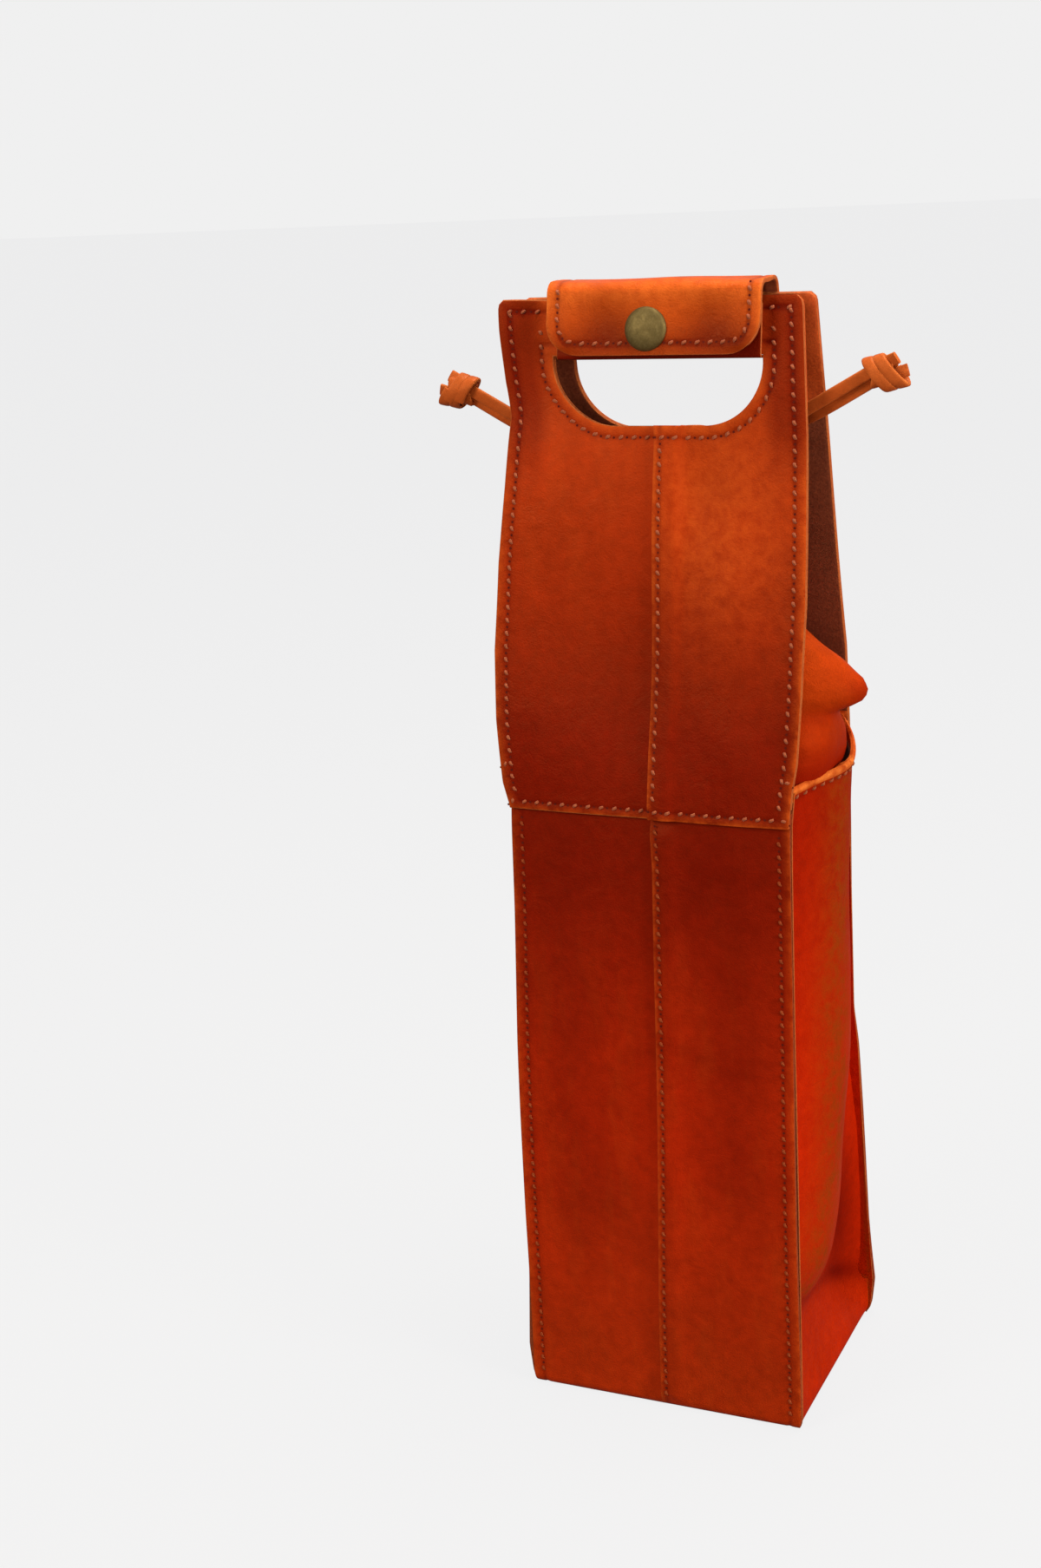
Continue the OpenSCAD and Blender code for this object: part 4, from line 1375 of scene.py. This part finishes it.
class CARRIER_OT_materials(bpy.types.Operator):
    """Makes the leathers, suede, thread and brass"""

    bl_idname = "carrier.materials"
    bl_label = "Leathers and brass"

    def execute(self, context):
        c = colours()
        tone_group()
        grain_group()
        leather("shell leather", c.leather, c.leather_dark_and_shade, c.leather_light_and_highlight, rough=0.44)
        for name, middle, dark, light, looks in (
            # For the gusset the light tone is the brown of its painted ridge highlight
            ("gusset leather", (0.49, 0.016, 0.0010), (0.13, 0.003, 0.0006), (0.25, 0.036, 0.003),
             {"rough": 0.42, "clouds_and_painted_light": 0.5, "depth": 0.55, "shine": 0.02}),
            ("collar leather", (0.55, 0.058, 0.0040), (0.24, 0.005, 0.0008), (0.70, 0.17, 0.03),
             {"rough": 0.48, "clouds_and_painted_light": 0.5, "depth": 0.5, "shine": 0.03}),
            ("wrap leather", (0.47, 0.048, 0.0030), (0.15, 0.008, 0.0010), (0.72, 0.15, 0.020),
             {"rough": 0.42, "clouds_and_painted_light": 0.5, "depth": 0.5}),
            ("lace leather", (0.40, 0.040, 0.0030), (0.15, 0.008, 0.0010), (0.60, 0.18, 0.04),
             {"rough": 0.42, "pebble": 0.4}),
            ("lining skin", (0.15, 0.024, 0.008), (0.07, 0.012, 0.005), (0.48, 0.10, 0.022),
             {"rough": 0.6, "clouds_and_painted_light": 0.3}),
        ):
            leather(name, middle, dark, light, **looks)
        # Name, middle, dark, how fine the fibres are, roughness, depth, sheen
        for row in (
            ("flesh side", (0.30, 0.055, 0.014), (0.17, 0.03, 0.008), 900, 0.9, 0.25, 0.05),
            ("suede", c.suede, (0.14, 0.028, 0.009), 1100, 0.9, 0.25, 0.05),
            ("cut edge", c.edge, (0.34, 0.055, 0.01), 1400, 0.78, 0.2),
            # Painted light on the lining's inner side near the upper corners
            ("painted light on lining", (0.78, 0.13, 0.018), (0.5, 0.065, 0.01), 1400, 0.78, 0.2),
            # Darker copies of the cut edge and the thread, for the lower panels
            ("dark edge", (0.36, 0.06, 0.009), (0.2, 0.02, 0.004), 1400, 0.78, 0.2),
            ("thread", c.thread, (0.27, 0.06, 0.02), 2600, 0.8, 0.15, 0.1),
            ("dark thread", (0.29, 0.052, 0.009), (0.2, 0.025, 0.004), 2600, 0.85, 0.15),
            # Dark discs painted as the shade in the needle holes
            ("needle hole shade", (0.13, 0.008, 0.002), (0.06, 0.004, 0.0015), 2000, 0.95, 0.05),
        ):
            fibres(*row)
        metal("antiqued brass")
        return {"FINISHED"}


class CARRIER_OT_laces(bpy.types.Operator):
    """Makes the two doubled laces and their knots"""

    bl_idname = "carrier.laces"
    bl_label = "Laces"

    def execute(self, context):
        for side, word in ((1, "right"), (-1, "left")):
            tied = knot(f"lace_knot_{word}", side)
            for front, place_word in ((-1, "front"), (1, "rear")):
                points = lace_way(side, front)
                ups = [Vector((-side * 0.15, 0, 1)) for _ in points]
                # Painted shade along each strand, strongest inside the casing
                strand = band(f"lace_{word}_{place_word}", points, ups, sizes().lace, 1.5 * MM, dark=2.4)
                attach(strand, f"{word}_lace")
                if front < 0:
                    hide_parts(f"lace_{word}")
        return {"FINISHED"}


class CARRIER_OT_lower_panels(bpy.types.Operator):
    """Makes the four lower panel pieces and their stitches"""

    bl_idname = "carrier.lower_panels"
    bl_label = "Lower panels"

    def execute(self, context):
        for face, word in FACES:
            for side, hand in HANDS:
                lower_piece(f"{word}_lower_{hand}", side, face)
            sew(f"{word}_lower_stitches", lower_rows(face), "body", "dark thread")
        return {"FINISHED"}


class CARRIER_OT_upper_panels(bpy.types.Operator):
    """Makes the upper panel pieces with their halves of the hand slot, the linings and the stitches"""

    bl_idname = "carrier.upper_panels"
    bl_label = "Upper panels"

    def execute(self, context):
        for face, word in FACES:
            body = f"{word}_panel"
            for side, hand in HANDS:
                upper_piece(f"{word}_upper_{hand}", side, face, body)
            lining(f"{word}_lining", face, body)
            sew(f"{word}_upper_stitches", upper_rows(face), body)
        return {"FINISHED"}


class CARRIER_OT_base(bpy.types.Operator):
    """Makes the bottom with its folded edges"""

    bl_idname = "carrier.base"
    bl_label = "Base"

    def execute(self, context):
        base("base_panel")
        return {"FINISHED"}


class CARRIER_OT_gussets(bpy.types.Operator):
    """Makes the soft side walls and the stitches of their hems"""

    bl_idname = "carrier.gussets"
    bl_label = "Gussets"

    def execute(self, context):
        for side, word in HANDS:
            row = hem_row(gusset(f"gusset_{word}", side), side)
            sew(f"gusset_stitches_{word}", [row], "body")
        return {"FINISHED"}


class CARRIER_OT_collar(bpy.types.Operator):
    """Makes the pouch that closes over the bottle's neck"""

    bl_idname = "carrier.collar"
    bl_label = "Collar"

    def execute(self, context):
        rays = []
        for a in np.linspace(0, 2 * math.pi, 121):
            c, s = math.cos(a), math.sin(a)
            start = (60 * MM * c, 34 * MM * s, CASING_Z * MM + 2.1 * MM)
            rays.append((start, Vector((-c, -0.6 * s, 0)).normalized()))
        sew("collar_stitches", [cast_row(collar("collar"), rays)], "body")
        return {"FINISHED"}


class CARRIER_OT_wrap(bpy.types.Operator):
    """Makes the strap over the bars, its lining, the facing of the stud and the stitches"""

    bl_idname = "carrier.wrap"
    bl_label = "Wrap"

    def execute(self, context):
        p = sizes()
        names = ("wrap leather", "flesh side", "cut edge")
        rear = dress(strap_sheet("strap_rear", 0, strap_at(PARTING), (0, 1, 0.3)), names)
        wall_with_meeting(rear, -PARTING)
        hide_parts("wrap_back", "wrap_top")
        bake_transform(rear)
        flap = dress(strap_sheet("strap_flap", strap_at(PARTING), STRAP_END, (0, -1, 0.3)), names)
        wall_with_meeting(flap, -PARTING)
        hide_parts("wrap_flap")
        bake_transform(flap)
        trim = 0.8 * MM
        inner = strap_sheet(
            "flap_lining_suede", strap_at(8.2 * MM), STRAP_END - trim, (0, -1, 0.1),
            inset=p.leather + 0.05 * MM, trim=trim,
        )
        dress(inner, ("lining skin", "suede", "cut edge"))
        walled(inner, p.lining - 0.1 * MM, "wrap_flap", "suede_lining", "flap_lining", edge=0.2 * MM)
        sew("wrap_stitches", [flap_row()], "wrap_flap")
        sew("wrap_back_stitches", back_rows(), "back_panel")
        stud_facing("stud_patch")
        return {"FINISHED"}


# Outline of the snap's cap: distance from its middle as a share of its radius, and height in mm
CAP_PROFILE = (
    (0, 2.55), (0.16, 2.52), (0.32, 2.43), (0.48, 2.28), (0.62, 2.06), (0.74, 1.8), (0.84, 1.5),
    (0.91, 1.2), (0.96, 0.88), (0.99, 0.55), (1.0, 0.25), (0.98, 0), (0.93, -0.2),
)


class CARRIER_OT_snap(bpy.types.Operator):
    """Makes the snap's domed cap, and gives the stud, post and socket their brass"""

    bl_idname = "carrier.snap"
    bl_label = "Snap"

    def execute(self, context):
        low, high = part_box("snap_cap")
        deselect()
        bpy.ops.mesh.primitive_plane_add(size=1)
        cap = bpy.context.object
        cap.name = "snap_cap_dome"
        with editing(cap):
            bpy.ops.mesh.delete(type="VERT")
        cap.data.vertices.add(len(CAP_PROFILE))
        for vertex, (r, h) in zip(cap.data.vertices, CAP_PROFILE):
            vertex.co = (r * (high.x - low.x) / 2, 0, h * MM)
        cap.data.edges.add(len(CAP_PROFILE) - 1)
        for i, edge in enumerate(cap.data.edges):
            edge.vertices = (i, i + 1)
        cap.data.update()
        with editing(cap):
            bpy.ops.mesh.spin(steps=56, angle=2 * math.pi, center=(0, 0, 0), axis=(0, 0, 1))
            bpy.ops.mesh.select_all(action="SELECT")
            bpy.ops.mesh.remove_doubles(threshold=0.02 * MM)
            close_ends()
        centre = (low + high) / 2
        normal = Vector((0, -math.cos(UP_LEAN), math.sin(UP_LEAN)))
        seat = Vector((0, *upper_point(0, FLAP_OUT)))
        foot = centre - normal * ((centre - seat).dot(normal) + 0.25 * MM)
        aim(cap, foot, Vector((0, 0, 1)).rotation_difference(normal).to_matrix())
        settle(cap)
        shade(cap, 40)
        dress(cap, ("antiqued brass",))
        belongs(cap, "wrap_flap", "antique_brass", "snap_cap")
        for node in ("snap_stud", "snap_post", "snap_socket"):
            dress(frame["nodes"][node], ("antiqued brass",))
        return {"FINISHED"}


# The camera that was fitted to the photograph's view: place, yaw, pitch, roll and lens
CAMERA_PLACE = (0.2678, -0.6927, 0.4427)
YAW, PITCH, ROLL = -0.4423, 0.29407, -0.06463
LENS, SENSOR = 52.54, 36
# Lamps: name, place, what they point at, size, power, tint
LAMPS = (
    ("key", (-0.7, -1.1, 0.95), (0, 0, 0.25), (0.6, 0.6), 13, (1, 0.94, 0.84)),
    ("front", (0.35, -1.4, 0.5), (0, 0, 0.18), (0.8, 0.8), 5, (1, 0.95, 0.87)),
    ("side", (1.35, -0.25, 0.6), (0, 0, 0.18), (0.6, 0.8), 20, (1, 0.94, 0.84)),
    ("top", (0.1, 0.15, 1.5), (0, 0, 0.3), (0.6, 0.6), 20, (1, 0.95, 0.87)),
)


def floor_material():
    """Paper that looks white to the camera and only tints the light that it throws back"""
    nodes, shader = new_material("paper floor")
    rays = nodes.add("ShaderNodeLightPath").outputs
    seen = rays["Is Camera Ray"]
    base_colour = nodes.mix(seen, (0.15, 0.10, 0.07, 1), (0.3, 0.3, 0.3, 1))
    nodes.fill(shader, {"Roughness": 0.9, "Specular IOR Level": 0.1, "Base Color": base_colour})
    glow = nodes.add("ShaderNodeEmission", {"Color": (0.95, 0.95, 0.955, 1)})
    share = nodes.plus(nodes.times(seen, 0.88), nodes.times(rays["Is Glossy Ray"], 0.1))
    both = nodes.add("ShaderNodeMixShader", {0: share, 1: shader.outputs[0], 2: glow.outputs[0]})
    nodes.fill(nodes.tree.nodes["Material Output"], {"Surface": both.outputs[0]})


def studio():
    """A world that is white to the camera, and dim for the light that falls on the carrier"""
    world = bpy.data.worlds.new("studio")
    world.use_nodes = True
    nodes = Nodes(world.node_tree)
    rays = nodes.add("ShaderNodeLightPath").outputs
    plain = nodes.mix(rays["Is Glossy Ray"], (0.12, 0.10, 0.08, 1), (0.42, 0.40, 0.37, 1))
    sky = nodes.mix(rays["Is Camera Ray"], plain, (0.871, 0.871, 0.871, 1))
    nodes.fill(world.node_tree.nodes["Background"], {"Color": sky})
    return world


class CARRIER_OT_stage(bpy.types.Operator):
    """Sets the camera, the floor and the lights"""

    bl_idname = "carrier.stage"
    bl_label = "Stage"

    def execute(self, context):
        scene = context.scene
        scene.view_settings.view_transform = "Standard"
        data = bpy.data.cameras.new("camera")
        data.lens, data.sensor_width, data.sensor_fit = LENS, SENSOR, "AUTO"
        data.clip_start, data.clip_end = 0.05, 60
        camera = link_to_scene(bpy.data.objects.new("camera", data))
        ahead = Vector((math.sin(YAW) * math.cos(PITCH), math.cos(YAW) * math.cos(PITCH), -math.sin(PITCH)))
        right = Vector((math.cos(YAW), -math.sin(YAW), 0))
        up = right.cross(ahead)
        tilted = math.cos(ROLL) * right + math.sin(ROLL) * up
        top = -math.sin(ROLL) * right + math.cos(ROLL) * up
        aim(camera, CAMERA_PLACE, Matrix((tilted, top, -ahead)).transposed())
        scene.camera = camera

        deselect()
        bpy.ops.mesh.primitive_plane_add(size=14, location=(0, 0, 0))
        floor = context.object
        floor.name = "floor"
        floor.location.z = -0.0002
        floor_material()
        dress(floor, ("paper floor",))
        scene.world = studio()
        for name, where, target, size, power, tint in LAMPS:
            lamp = bpy.data.lights.new(name, "AREA")
            lamp.shape = "RECTANGLE"
            lamp.size, lamp.size_y = size
            lamp.energy, lamp.color = power, tint
            turn = (Vector(target) - Vector(where)).to_track_quat("-Z", "Y").to_matrix()
            aim(link_to_scene(bpy.data.objects.new(name, lamp)), where, turn)
        return {"FINISHED"}


OPERATORS = (
    CARRIER_OT_materials, CARRIER_OT_stage, CARRIER_OT_laces, CARRIER_OT_lower_panels,
    CARRIER_OT_upper_panels, CARRIER_OT_base, CARRIER_OT_gussets, CARRIER_OT_collar, CARRIER_OT_wrap,
    CARRIER_OT_snap,
)


class CARRIER_PT_panel(bpy.types.Panel):
    """Lists the carrier's pieces in the order in which they are made"""

    bl_idname = "CARRIER_PT_panel"
    bl_label = "Bottle carrier"
    bl_space_type = "VIEW_3D"
    bl_region_type = "UI"
    bl_category = "Carrier"

    def draw(self, context):
        for group in (context.scene.carrier_sizes, context.scene.carrier_colours):
            for key in group.__annotations__:
                self.layout.prop(group, key)
        for operator in OPERATORS:
            self.layout.operator(operator.bl_idname)


CLASSES = (CarrierSizes, CarrierColours, *OPERATORS, CARRIER_PT_panel)


def register():
    for item in CLASSES:
        bpy.utils.register_class(item)
    bpy.types.Scene.carrier_sizes = bpy.props.PointerProperty(type=CarrierSizes)
    bpy.types.Scene.carrier_colours = bpy.props.PointerProperty(type=CarrierColours)


def unregister():
    del bpy.types.Scene.carrier_sizes
    del bpy.types.Scene.carrier_colours
    for item in reversed(CLASSES):
        bpy.utils.unregister_class(item)


def main():
    register()
    for operator in OPERATORS:
        group, name = operator.bl_idname.split(".")
        getattr(getattr(bpy.ops, group), name)()


if __name__ == "__main__":
    main()
